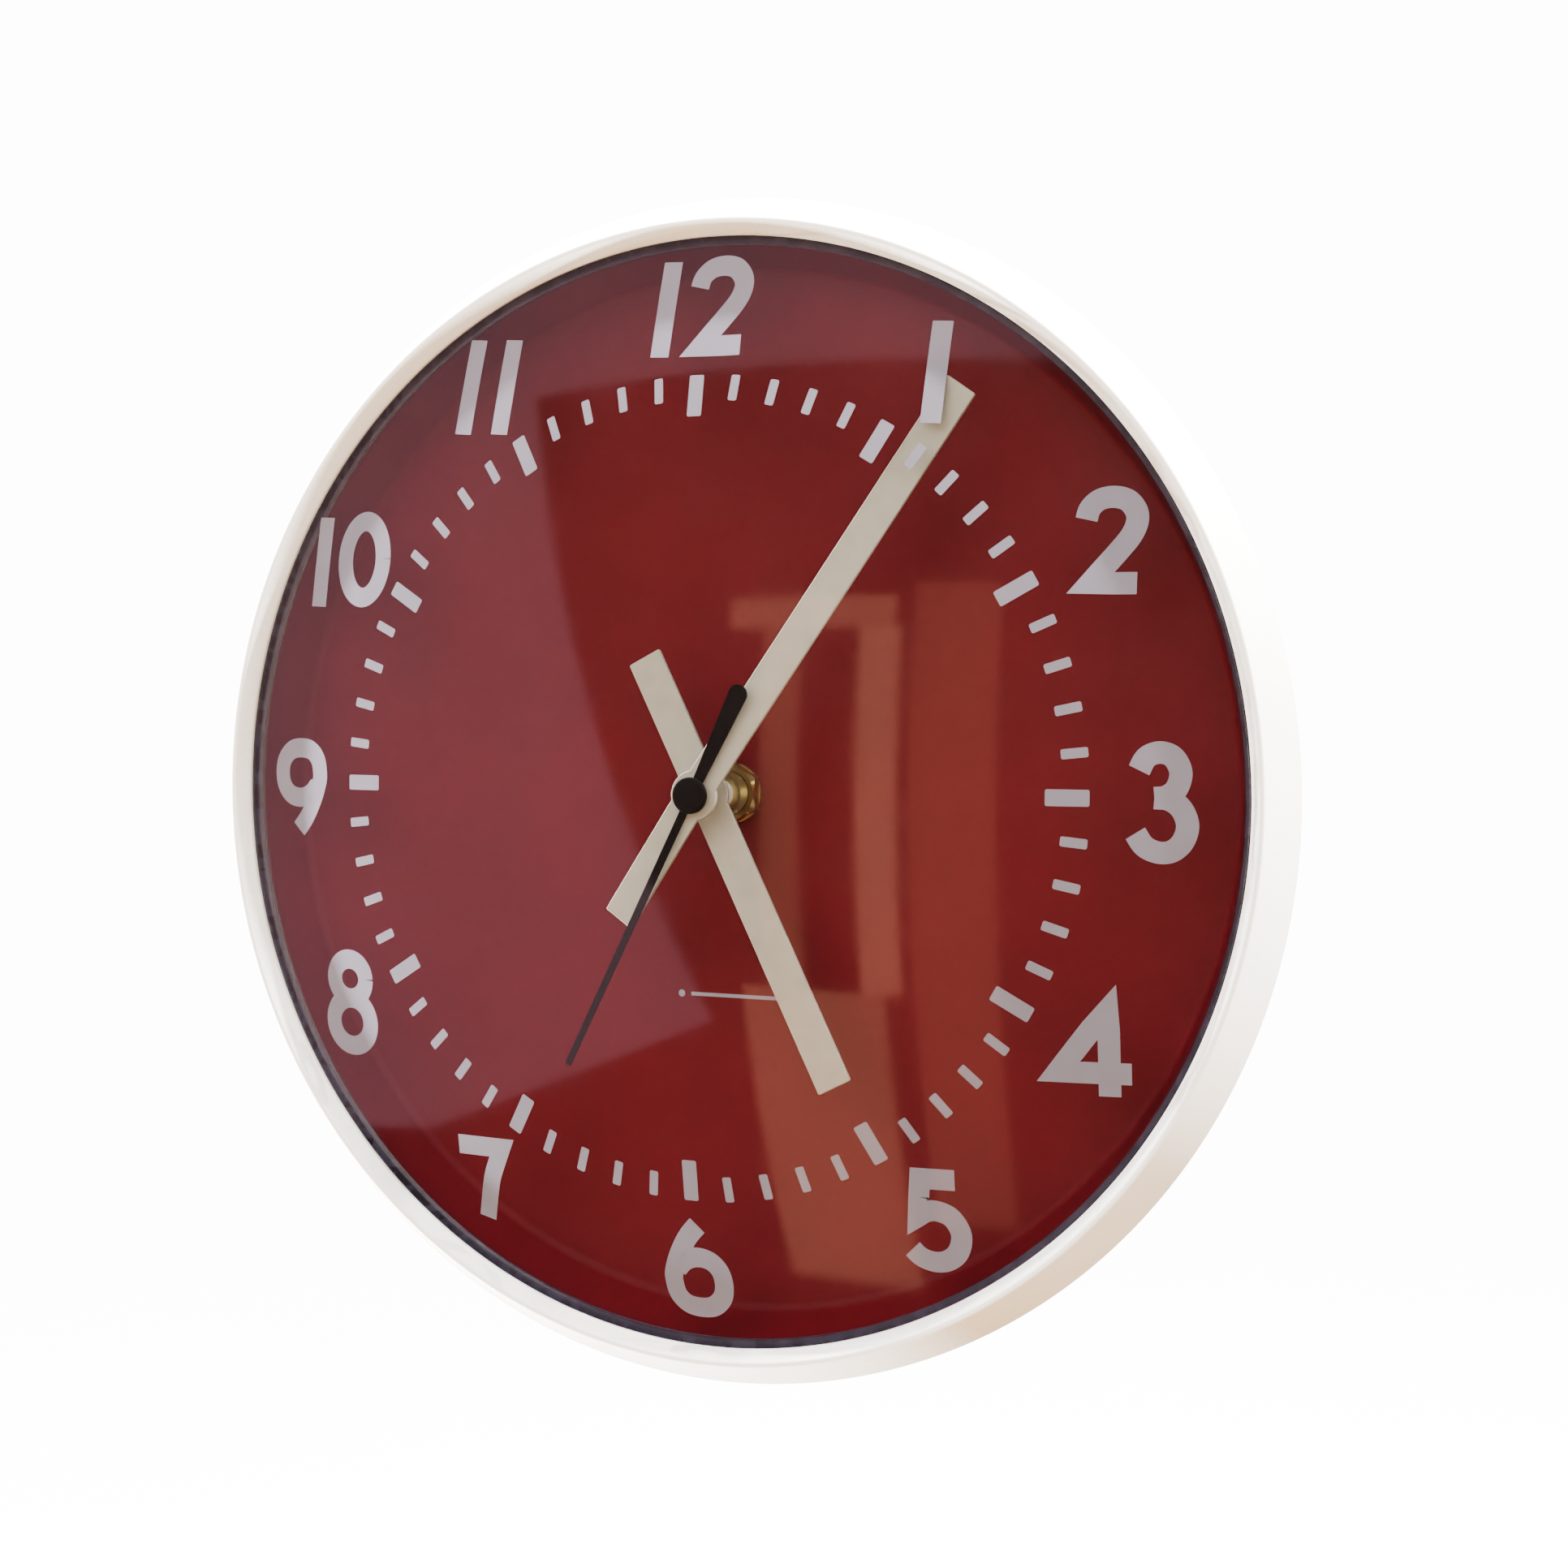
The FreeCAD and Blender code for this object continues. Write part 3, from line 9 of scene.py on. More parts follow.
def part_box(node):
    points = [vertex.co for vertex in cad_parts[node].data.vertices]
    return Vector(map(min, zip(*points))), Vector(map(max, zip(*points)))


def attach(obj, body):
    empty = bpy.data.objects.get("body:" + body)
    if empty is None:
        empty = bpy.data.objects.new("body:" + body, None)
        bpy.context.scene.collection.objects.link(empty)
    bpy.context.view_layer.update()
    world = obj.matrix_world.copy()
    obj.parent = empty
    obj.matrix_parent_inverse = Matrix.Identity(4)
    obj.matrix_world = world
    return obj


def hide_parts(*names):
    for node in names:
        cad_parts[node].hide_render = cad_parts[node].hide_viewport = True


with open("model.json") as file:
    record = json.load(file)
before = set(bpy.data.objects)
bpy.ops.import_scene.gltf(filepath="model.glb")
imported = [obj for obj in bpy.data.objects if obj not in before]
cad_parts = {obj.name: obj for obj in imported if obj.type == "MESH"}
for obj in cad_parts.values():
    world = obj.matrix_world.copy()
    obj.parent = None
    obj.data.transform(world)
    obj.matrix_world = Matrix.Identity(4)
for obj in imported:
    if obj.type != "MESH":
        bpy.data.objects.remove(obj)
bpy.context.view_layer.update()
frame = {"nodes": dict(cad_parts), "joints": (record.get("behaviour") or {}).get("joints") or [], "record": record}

# The clock's own axis runs along Y. x is to the viewer's right of it, y above it, and d is the distance off
# the wall, all in millimetres.
AXIS = Vector(next(joint for joint in frame["joints"] if joint["name"] == "second_turn")["pos_m"])
MM = 0.001


def at(x, y, d):
    """Point of the row frame, in metres."""
    return Vector((AXIS.x + x * MM, -d * MM, AXIS.z + y * MM))


def depth(node):
    """Back and front of a CAD node, off the wall."""
    low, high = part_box(node)
    return -high.y / MM, -low.y / MM


def reach(node):
    """Outer radius of a round CAD node on the clock's axis."""
    low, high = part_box(node)
    return (high.x - low.x) / 2 / MM


# Materials


FINE_NOISE = 10
ROUGHNESS_SPREAD = 0.05
LEAST_ROUGHNESS = 0.02
COAT_ROUGHNESS = 0.04
BUMP_HEIGHT = 0.0002
TINT_FROM, TINT_TO = 0.3, 0.7


def material(name, colour, roughness, metallic=0.0, coat=0.0, grain=120.0, tint=0.05, bump=0.02,
             stretch=(1, 1, 1), specular=0.5):
    """Principled material whose colour, roughness and surface all vary a little with fine noise."""
    result = bpy.data.materials.new(name)
    result.use_nodes = True
    nodes, links = result.node_tree.nodes, result.node_tree.links
    shader = nodes["Principled BSDF"]
    shader.inputs["Metallic"].default_value = metallic
    shader.inputs["Coat Weight"].default_value = coat
    shader.inputs["Coat Roughness"].default_value = COAT_ROUGHNESS
    shader.inputs["Specular IOR Level"].default_value = specular
    place = nodes.new("ShaderNodeTexCoord")
    mapping = nodes.new("ShaderNodeMapping")
    mapping.inputs["Scale"].default_value = stretch
    links.new(place.outputs["Object"], mapping.inputs["Vector"])
    fine = noise(nodes, links, mapping, grain * FINE_NOISE, 3)
    broad = noise(nodes, links, mapping, grain, 4)
    ramp = nodes.new("ShaderNodeValToRGB")
    ramp.color_ramp.elements[0].position = TINT_FROM
    ramp.color_ramp.elements[1].position = TINT_TO
    ramp.color_ramp.elements[0].color = (*[c * (1 - tint) for c in colour], 1)
    ramp.color_ramp.elements[1].color = (*[min(1, c * (1 + tint)) for c in colour], 1)
    links.new(broad.outputs["Fac"], ramp.inputs["Fac"])
    links.new(ramp.outputs["Color"], shader.inputs["Base Color"])
    spread = nodes.new("ShaderNodeMapRange")
    spread.inputs["To Min"].default_value = max(LEAST_ROUGHNESS, roughness - ROUGHNESS_SPREAD)
    spread.inputs["To Max"].default_value = roughness + ROUGHNESS_SPREAD
    links.new(fine.outputs["Fac"], spread.inputs["Value"])
    links.new(spread.outputs["Result"], shader.inputs["Roughness"])
    relief = nodes.new("ShaderNodeBump")
    relief.inputs["Strength"].default_value = bump
    relief.inputs["Distance"].default_value = BUMP_HEIGHT
    links.new(fine.outputs["Fac"], relief.inputs["Height"])
    links.new(relief.outputs["Normal"], shader.inputs["Normal"])
    return result


def noise(nodes, links, mapping, scale, detail):
    """Noise over the object's own coordinates."""
    texture = nodes.new("ShaderNodeTexNoise")
    texture.inputs["Scale"].default_value = scale
    texture.inputs["Detail"].default_value = detail
    links.new(mapping.outputs["Vector"], texture.inputs["Vector"])
    return texture


def clear_plastic():
    """Polished clear plastic: it passes light straight through and mirrors more at a glancing angle."""
    refraction, smoothest, roughest = 1.45, 0.02, 0.10
    result = bpy.data.materials.new("clear_plastic")
    result.use_nodes = True
    nodes, links = result.node_tree.nodes, result.node_tree.links
    nodes.remove(nodes["Principled BSDF"])
    place = nodes.new("ShaderNodeTexCoord")
    haze = nodes.new("ShaderNodeTexNoise")
    haze.inputs["Scale"].default_value = 60
    haze.inputs["Detail"].default_value = 5
    links.new(place.outputs["Object"], haze.inputs["Vector"])
    spread = nodes.new("ShaderNodeMapRange")
    spread.inputs["To Min"].default_value = smoothest
    spread.inputs["To Max"].default_value = roughest
    links.new(haze.outputs["Fac"], spread.inputs["Value"])
    shine = nodes.new("ShaderNodeBsdfGlossy")
    links.new(spread.outputs["Result"], shine.inputs["Roughness"])
    through = nodes.new("ShaderNodeBsdfTransparent")
    through.inputs["Color"].default_value = (0.985, 0.98, 0.98, 1)
    side = nodes.new("ShaderNodeNewGeometry")
    index = nodes.new("ShaderNodeMapRange")
    index.inputs["To Min"].default_value = refraction
    index.inputs["To Max"].default_value = 1 / refraction
    links.new(side.outputs["Backfacing"], index.inputs["Value"])
    fresnel = nodes.new("ShaderNodeFresnel")
    links.new(index.outputs["Result"], fresnel.inputs["IOR"])
    mix = nodes.new("ShaderNodeMixShader")
    links.new(fresnel.outputs["Fac"], mix.inputs["Fac"])
    links.new(through.outputs["BSDF"], mix.inputs[1])
    links.new(shine.outputs["BSDF"], mix.inputs[2])
    links.new(mix.outputs["Shader"], nodes["Material Output"].inputs["Surface"])
    return result


MATERIALS = {
    "case_plastic": material("case_plastic", (0.93, 0.92, 0.90), 0.28, coat=0.3, grain=60, tint=0.015,
                             bump=0.03),
    "dial_metal": material("dial_metal", (0.072, 0.0012, 0.0038), 0.55, grain=45, tint=0.08, bump=0.004,
                           specular=0.1),
    "clear_plastic": clear_plastic(),
    "print": material("print", (0.163, 0.160, 0.200), 0.55, grain=200, tint=0.04, bump=0.05, specular=0.2),
    "hand_paint": material("hand_paint", (0.25, 0.245, 0.20), 0.42, grain=300, tint=0.06, bump=0.08),
    "second_paint": material("second_paint", (0.0022, 0.0020, 0.0014), 0.6, grain=200, tint=0.2, bump=0.05,
                             specular=0.15),
    "brass": material("brass", (0.66, 0.55, 0.22), 0.32, metallic=1.0, grain=150, tint=0.12, bump=0.08),
    "grey_rubber": material("grey_rubber", (0.03, 0.025, 0.05), 0.6, grain=200, tint=0.1, bump=0.1),
    "black_rubber": material("black_rubber", (0.015, 0.015, 0.015), 0.7, grain=200, tint=0.15, bump=0.15),
    "black_plastic": material("black_plastic", (0.03, 0.03, 0.032), 0.4, grain=250, tint=0.15, bump=0.25),
    "plate_plastic": material("plate_plastic", (0.35, 0.35, 0.36), 0.5, grain=150, tint=0.06, bump=0.1),
    "natural_plastic": material("natural_plastic", (0.68, 0.67, 0.60), 0.4, grain=150, tint=0.05, bump=0.08),
    "cell_jacket": material("cell_jacket", (0.05, 0.09, 0.16), 0.3, coat=0.4, grain=80, tint=0.08, bump=0.03),
    "spring_steel": material("spring_steel", (0.62, 0.61, 0.58), 0.25, metallic=1.0, grain=200, tint=0.06),
    "soft_iron": material("soft_iron", (0.30, 0.30, 0.30), 0.45, metallic=1.0, grain=200, tint=0.1, bump=0.1),
    "copper": material("copper", (0.55, 0.20, 0.09), 0.3, metallic=1.0, grain=90, tint=0.15, bump=0.6,
                       stretch=(1, 1, 12)),
    "magnet": material("magnet", (0.05, 0.05, 0.05), 0.5, grain=200, tint=0.15, bump=0.15),
    "steel": material("steel", (0.5, 0.5, 0.5), 0.25, metallic=1.0, grain=200, tint=0.06),
    "board": material("board", (0.02, 0.12, 0.05), 0.4, grain=100, tint=0.15, bump=0.08),
}

# Meshes


def add_piece(name, mesh, paint, body, replaced=None, smooth=35):
    """A finished piece of the object, with smooth shading up to an angle."""
    item = bpy.data.objects.new(name, mesh)
    bpy.context.scene.collection.objects.link(item)
    mesh.materials.append(MATERIALS[paint])
    mesh.shade_smooth()
    mesh.set_sharp_from_angle(angle=math.radians(smooth))
    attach(item, body)
    if replaced:
        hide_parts(*replaced)
    return item


def mesh_of(name, points, faces):
    """Mesh from points and faces, with all its faces turned outwards."""
    mesh = bpy.data.meshes.new(name)
    mesh.from_pydata([tuple(point) for point in points], [], faces)
    shape = bmesh.new()
    shape.from_mesh(mesh)
    bmesh.ops.recalc_face_normals(shape, faces=shape.faces)
    shape.to_mesh(mesh)
    shape.free()
    return mesh


def rounded(corners, steps=5):
    """Closed profile with the corners given as (r, d, radius) rounded off."""
    profile = []
    for index, (r, d, radius) in enumerate(corners):
        corner = Vector((r, d))
        if radius == 0:
            profile.append((r, d))
            continue
        before = Vector(corners[index - 1][:2]) - corner
        after = Vector(corners[(index + 1) % len(corners)][:2]) - corner
        half = before.angle(after) / 2
        cut = radius / math.tan(half)
        start, end = corner + before.normalized() * cut, corner + after.normalized() * cut
        middle = corner + (before.normalized() + after.normalized()).normalized() * radius / math.sin(half)
        turn = (start - middle).angle_signed(end - middle)
        for step in range(steps + 1):
            profile.append(tuple(middle + Matrix.Rotation(-turn * step / steps, 2) @ (start - middle)))
    return profile


def turned(name, profile, paint, body, replaced=None, segments=256, smooth=35):
    """Piece turned about the clock's axis from a closed profile of (r, d)."""
    points = [at(r * math.cos(angle), r * math.sin(angle), d)
              for angle in turns(segments) for r, d in profile]
    mesh = mesh_of(name, points, ring_faces(segments, len(profile)))
    merge(mesh)
    return add_piece(name, mesh, paint, body, replaced, smooth)


def turns(segments):
    """Angles all the way round, in radians."""
    return [2 * math.pi * segment / segments for segment in range(segments)]


def ring_faces(segments, count):
    """Faces between closed profiles of count points that stand all the way round."""
    faces = []
    for segment in range(segments):
        this, following = segment * count, (segment + 1) % segments * count
        for index in range(count):
            nearby = (index + 1) % count
            faces.append((this + index, this + nearby, following + nearby, following + index))
    return faces


def merge(mesh, nearest=1e-7):
    """Join points that fall together, as on the axis."""
    shape = bmesh.new()
    shape.from_mesh(mesh)
    bmesh.ops.remove_doubles(shape, verts=shape.verts, dist=nearest)
    bmesh.ops.dissolve_degenerate(shape, dist=nearest, edges=shape.edges)
    bmesh.ops.recalc_face_normals(shape, faces=shape.faces)
    shape.to_mesh(mesh)
    shape.free()


def sheet_metal(name, outline, thickness, front_of, clockwise, paint, body, replaced, folds=(),
                round_off=0.15):
    """Flat pressed piece from a plan outline along +y, turned clockwise, its front a function of y."""
    shape = bmesh.new()
    shape.faces.new([shape.verts.new((x, y, 0)) for x, y in outline])
    for fold in folds:
        geometry = list(shape.verts) + list(shape.edges) + list(shape.faces)
        bmesh.ops.bisect_plane(shape, geom=geometry, plane_co=(0, fold, 0), plane_no=(0, 1, 0))
    front = list(shape.faces)
    extruded = bmesh.ops.extrude_face_region(shape, geom=front, use_keep_orig=True)
    behind = {item for item in extruded["geom"] if isinstance(item, bmesh.types.BMVert)}
    turn = Matrix.Rotation(-math.radians(clockwise), 2)
    for vert in shape.verts:
        d = front_of(vert.co.y) - (thickness if vert in behind else 0)
        x, y = turn @ Vector((vert.co.x, vert.co.y))
        vert.co = at(x, y, d)
    bmesh.ops.recalc_face_normals(shape, faces=shape.faces)
    mesh = bpy.data.meshes.new(name)
    shape.to_mesh(mesh)
    shape.free()
    item = add_piece(name, mesh, paint, body, replaced)
    bevel = item.modifiers.new("edge", "BEVEL")
    bevel.width = round_off * MM
    bevel.segments = 3
    bevel.limit_method = "ANGLE"
    bevel.angle_limit = math.radians(40)
    return item


def arc(x, y, radius, start, end, steps):
    """Points of an arc, in degrees anticlockwise from +x."""
    angles = [math.radians(start + (end - start) * step / steps) for step in range(steps + 1)]
    return [(x + radius * math.cos(angle), y + radius * math.sin(angle)) for angle in angles]


# Case, lens and dial

BEZEL_BACK, BEZEL_FRONT = depth("bezel_ring")
LENS_SEAT, LENS_TOP = depth("lens")
LENS_RADIUS = reach("lens")
DIAL_BACK, DIAL_FLANGE = depth("dial")
DIAL_FLOOR = 21.0
OVERALL = 110.0
SIGHT = 102.4
LENS_WALL = 1.4
DOME_FOOT_RADIUS = SIGHT - LENS_WALL
DOME_APEX = LENS_TOP - LENS_WALL
DOME_RISE = 11.9
DOME_RADIUS = (DOME_FOOT_RADIUS ** 2 + DOME_RISE ** 2) / (2 * DOME_RISE)


def dome_inside(r):
    """Inner face of the dome, off the wall."""
    return DOME_APEX - DOME_RADIUS + math.sqrt(DOME_RADIUS ** 2 - r * r)


def make_bezel():
    """Bezel ring: a narrow crest, a flared outer wall, and the snap skirt behind it."""
    lens_front = LENS_SEAT + LENS_WALL
    lip = 33.4
    crest_inner, crest_outer = 104.3, 105.3
    rim_front, rim_back = 28.9, 28.3
    rim_inset, rim_wall = 0.6, 1.2
    skirt_inner, skirt_outer, skirt_root = 103.7, 105.6, 31.5
    seat, seat_back = 104.4, 27.4
    corners = [
        (SIGHT, lens_front, 0), (SIGHT, lip, 0.15), (crest_inner, BEZEL_FRONT, 0.6),
        (crest_outer, BEZEL_FRONT, 0.5), (OVERALL, rim_front, 0.5), (OVERALL - rim_inset, rim_back, 0.25),
        (OVERALL - rim_inset - rim_wall, rim_back, 0.2), (skirt_outer, skirt_root, 0.5),
        (skirt_outer, BEZEL_BACK, 0.2), (skirt_inner, BEZEL_BACK, 0.2), (skirt_inner, seat_back, 0),
        (seat, seat_back, 0), (seat, lens_front, 0)]
    turned("bezel", rounded(corners), "case_plastic", "case", ["bezel_ring"], 360)


def make_lens():
    """Domed lens with a flat flange, drawn from the apex outwards, round its edge and back inside."""
    steps, foot_inset, foot_rise = 40, 0.2, 1.2
    front = LENS_SEAT + LENS_WALL
    foot = SIGHT - foot_inset
    rise = LENS_TOP - dome_inside(DOME_FOOT_RADIUS) - foot_rise
    radius = (foot ** 2 + rise ** 2) / (2 * rise)
    outer_radii = [foot * step / steps for step in range(1, steps + 1)]
    inner_radii = [DOME_FOOT_RADIUS * step / steps for step in range(steps, 0, -1)]
    centre = LENS_TOP - radius
    outside = [(0.0, LENS_TOP)] + [(r, centre + math.sqrt(radius ** 2 - r * r)) for r in outer_radii]
    edge = [(foot, front), (LENS_RADIUS, front), (LENS_RADIUS, LENS_SEAT), (DOME_FOOT_RADIUS, LENS_SEAT)]
    inside = [(r, dome_inside(r)) for r in inner_radii] + [(0.0, DOME_APEX)]
    turned("dome_lens", outside + edge + inside, "clear_plastic", "case", ["lens"], 256, 40)


def make_dial():
    """Dial pan: a flat floor, a sloping wall and a flange under the lens."""
    hole, floor_radius, wall, flange_back, lip = 4.2, 97.6, 0.5, 30.5, 0.5
    corners = [
        (hole, DIAL_BACK, 0), (floor_radius + wall, DIAL_BACK, 2.4), (SIGHT, flange_back, 0),
        (LENS_RADIUS, flange_back, 0), (LENS_RADIUS, DIAL_FLANGE, 0), (SIGHT - lip, DIAL_FLANGE, 0.2),
        (floor_radius, DIAL_FLOOR, 2.0), (hole, DIAL_FLOOR, 0.1)]
    turned("dial_pan", rounded(corners, 8), "dial_metal", "case", ["dial"], 256)


# Print on the inner face of the dome

PRINT_GAP = 0.05
PRINT_LAYER = 0.02
NUMERAL_STROKE = 3.8


def on_dome(x, y, layer=0):
    """Point just inside the dome, right of and above the clock's axis."""
    return at(x, y, dome_inside(math.hypot(x, y)) - PRINT_GAP + PRINT_LAYER * layer)


def ellipse(x, y, width, height, steps):
    """Closed line round an ellipse with these half axes."""
    angles = [2 * math.pi * step / steps for step in range(steps + 1)]
    return [(x + width * math.cos(angle), y + height * math.sin(angle)) for angle in angles]


def bend(points, steps=10):
    """Smooth curve through points."""
    padded = [points[0], *points, points[-1]]
    curve = []
    for index in range(1, len(padded) - 2):
        a, b, c, d = (Vector(point) for point in padded[index - 1:index + 3])
        for step in range(steps):
            t = step / steps
            curve.append(tuple(0.5 * ((2 * b) + (c - a) * t + (2 * a - 5 * b + 4 * c - d) * t * t
                                      + (3 * b - a - 3 * c + d) * t ** 3)))
    return curve + [points[-1]]


# Centre lines of the digits, drawn in a unit square that the strokes fill. Each is a list of open or
# closed lines.
DIGITS = {
    "0": [ellipse(0.5, 0.5, 0.5, 0.5, 48)],
    "1": [[(0.0, 0.0), (1.0, 1.0)]],
    "2": [bend([(0.0, 0.74), (0.06, 0.87), (0.24, 0.97), (0.5, 1.0), (0.76, 0.96), (0.93, 0.84),
                (0.96, 0.71), (0.86, 0.55), (0.62, 0.36), (0.38, 0.19)]) + [(0.10, 0.0), (1.0, 0.0)]],
    "3": [bend([(0.06, 0.82), (0.2, 0.95), (0.46, 1.0), (0.72, 0.95), (0.86, 0.8), (0.78, 0.64),
                (0.58, 0.56), (0.36, 0.545)]),
          bend([(0.36, 0.545), (0.64, 0.53), (0.88, 0.44), (1.0, 0.28), (0.92, 0.12), (0.72, 0.02),
                (0.46, 0.0), (0.18, 0.06), (0.0, 0.19)])],
    "4": [[(0.70, 0.0), (0.70, 0.5)], [(0.70, 0.45), (0.70, 1.0), (0.0, 0.26), (1.0, 0.26)]],
    "5": [[(0.92, 1.0), (0.22, 1.0)]
          + bend([(0.14, 0.54), (0.3, 0.60), (0.52, 0.62), (0.80, 0.56), (0.97, 0.42), (1.0, 0.28),
                  (0.9, 0.12), (0.68, 0.02), (0.42, 0.0), (0.16, 0.05), (0.0, 0.14)])],
    "6": [bend([(0.56, 1.0), (0.34, 0.84), (0.14, 0.62), (0.02, 0.42), (0.0, 0.31), (0.06, 0.14),
                (0.24, 0.03), (0.5, 0.0), (0.76, 0.03), (0.95, 0.15), (1.0, 0.31), (0.94, 0.47),
                (0.76, 0.58), (0.5, 0.61), (0.26, 0.56), (0.10, 0.46)])],
    "7": [[(0.0, 1.0), (0.96, 1.0)] + bend([(0.82, 0.78), (0.68, 0.52), (0.52, 0.0)])],
    "8": [ellipse(0.5, 0.775, 0.42, 0.225, 40), ellipse(0.5, 0.275, 0.5, 0.275, 44)],
}
DIGITS["9"] = [[(1 - x, 1 - y) for x, y in DIGITS["6"][0]]]

# Digit, middle of its box right of and above the clock's axis, width and height. A separate script measured
# these and printed them, and only those of some of the figures 1 were then changed by hand.
NUMERALS = {
    "numeral_12": [("1", -7.7, 89.2, 4.8, 17.9), ("2", 3.5, 89.3, 13.1, 18.8)],
    "numeral_01": [("1", 45.9, 75.2, 4.8, 18.2)],
    "numeral_02": [("2", 78.1, 45.1, 12.7, 18.6)],
    "numeral_03": [("3", 87.5, 0.5, 12.4, 20.8)],
    "numeral_04": [("4", 76.1, -42.5, 16.3, 19.4)],
    "numeral_05": [("5", 47.1, -74.4, 12.8, 19.0)],
    "numeral_06": [("6", 0.1, -87.1, 14.1, 19.7)],
    "numeral_07": [("7", -46.1, -75.3, 14.4, 17.9)],
    "numeral_08": [("8", -76.6, -42.4, 13.5, 21.0)],
    "numeral_09": [("9", -88.7, -0.5, 14.2, 19.9)],
    "numeral_10": [("1", -84.6, 44.3, 4.8, 17.6), ("0", -73.5, 44.5, 13.6, 18.7)],
    "numeral_11": [("1", -50.0, 77.0, 5.6, 18.2), ("1", -41.5, 76.5, 5.4, 18.1)],
}


LONGEST_MITRE = 2.2


def ribbon(line, half):
    """Both edges of a stroke along a line, mitred at its corners."""
    closed = math.isclose(math.dist(line[0], line[-1]), 0, abs_tol=1e-6)
    points = [Vector(point) for point in (line[:-1] if closed else line)]
    count = len(points)
    left, right = [], []
    for index, point in enumerate(points):
        before = (points[index] - points[index - 1]).normalized() if closed or index else None
        following = points[(index + 1) % count]
        after = (following - point).normalized() if closed or index < count - 1 else before
        before = before or after
        direction = (before + after).normalized()
        stretch = min(LONGEST_MITRE, 1 / max(0.2, direction.dot(after)))
        side = Vector((-direction.y, direction.x)) * half * stretch
        left.append(point + side)
        right.append(point - side)
    return left, right, closed


def stroke_mesh(lines, half, project):
    """Flat strokes, each line on a layer of its own, so that strokes that cross do not share a plane."""
    points, faces = [], []
    for layer, line in enumerate(lines):
        left, right, closed = ribbon(line, half)
        start, count = len(points), len(left)
        for a, b in zip(left, right):
            points += [project(*a, layer), project(*((a + b) / 2), layer), project(*b, layer)]
        for index in range(count if closed else count - 1):
            this, following = start + 3 * index, start + 3 * ((index + 1) % count)
            for edge in (0, 1):
                faces.append((this + edge, this + edge + 1, following + edge + 1, following + edge))
    return points, faces


def make_numeral(name, digits):
    """One printed hour numeral, made of one or two digits."""
    points, faces = [], []
    half = NUMERAL_STROKE / 2
    for digit, x, y, width, height in digits:
        inner_width, inner_height = width - 2 * half, height - 2 * half
        lift = half
        if digit == "1":
            inner_height, lift = height, 0
        lines = [[(x - width / 2 + half + u * inner_width, y - height / 2 + lift + v * inner_height)
                  for u, v in line] for line in DIGITS[digit]]
        more_points, more_faces = stroke_mesh([thicken(line) for line in lines], half, on_dome)
        faces += [tuple(index + len(points) for index in face) for face in more_faces]
        points += more_points
    add_piece(name, mesh_of(name, points, faces), "print", "case", smooth=180)


def thicken(line, longest=6.0):
    """The same line with extra points, so that it follows the dome."""
    dense = [line[0]]
    for start, end in zip(line, line[1:]):
        parts = max(1, math.ceil(math.dist(start, end) / longest))
        dense += [tuple(Vector(start).lerp(Vector(end), part / parts)) for part in range(1, parts + 1)]
    return dense


def make_marks():
    """Minute marks, wider and longer ones on the hours. Their ring lies a little above the axis."""
    corner, ring_rise = 0.35, 1.05
    for minute in range(60):
        outer, length, width = (75.5, 7.6, 2.9) if minute % 5 == 0 else (75.6, 4.7, 1.75)
        outline = []
        for sx, sy, start in ((1, 1, 0), (-1, 1, 90), (-1, -1, 180), (1, -1, 270)):
            outline += arc(sx * (width / 2 - corner), outer - length / 2 + sy * (length / 2 - corner), corner,
                           start, start + 90, 4)
        turn = Matrix.Rotation(math.radians(6 * minute), 2)
        points = [turn @ Vector(point) for point in outline]
        name = f"mark_{minute:02d}"
        mesh = mesh_of(name, [on_dome(x, y + ring_rise) for x, y in points], [tuple(range(len(points)))])
        add_piece(name, mesh, "print", "case", smooth=180)


def make_ornament():
    """Generic ornament on the dial below the middle: a thin bar between two dots."""
    level, bar, dots, half, dot = -38.5, 9.0, 11.0, 0.35, 0.7
    front = DIAL_FLOOR + PRINT_GAP
    points, faces = stroke_mesh([[(-bar, level), (bar, level)]], half, lambda x, y, layer: at(x, y, front))
    for x in (-dots, dots):
        ring = arc(x, level, dot, 0, 345, 23)
        faces.append(tuple(range(len(points), len(points) + len(ring))))
        points += [at(px, py, front) for px, py in ring]
    add_piece("dial_ornament", mesh_of("dial_ornament", points, faces), "print", "case", smooth=180)


# Hands

HOUR_ANGLE, MINUTE_ANGLE, SECOND_ANGLE = 153.2, 34.5, 206.7
BATON_THICKNESS = 0.8


def baton(length, tail, width, boss):
    """Plan of a baton hand: straight blade and tail with slightly rounded corners, and a round boss."""
    corner, half = 0.35, width / 2
    inset = half - corner
    meet = math.degrees(math.acos(half / boss))
    right = arc(0, 0, boss, -meet, meet, 20)
    left = arc(0, 0, boss, 180 - meet, 180 + meet, 20)
    tip = arc(inset, length - corner, corner, 0, 90, 4) + arc(-inset, length - corner, corner, 90, 180, 4)
    end = arc(-inset, corner - tail, corner, 180, 270, 4) + arc(inset, corner - tail, corner, 270, 360, 4)
    return right + tip + left + end


def make_hour_hand():
    front = depth("hour_hand")[1]
    outline = baton(length=58.8, tail=28.4, width=6.9, boss=4.75)
    sheet_metal("hour_baton", outline, BATON_THICKNESS, lambda y: front, HOUR_ANGLE, "hand_paint", "hour",
                ["hour_hand"])


def make_minute_hand():
    """Minute hand, folded at its boss so that its blade and tail slope back towards the dial."""
    front = depth("minute_hand")[1]
    length, tail, boss, drop = 88.5, 28.3, 4.6, 3.7
    slope = drop / (length - boss)
    sheet_metal("minute_baton", baton(length, tail, 6.4, boss), BATON_THICKNESS,
                lambda y: front - slope * max(0.0, abs(y) - boss), MINUTE_ANGLE, "hand_paint", "minute",
                ["minute_hand"], folds=(-boss, boss))


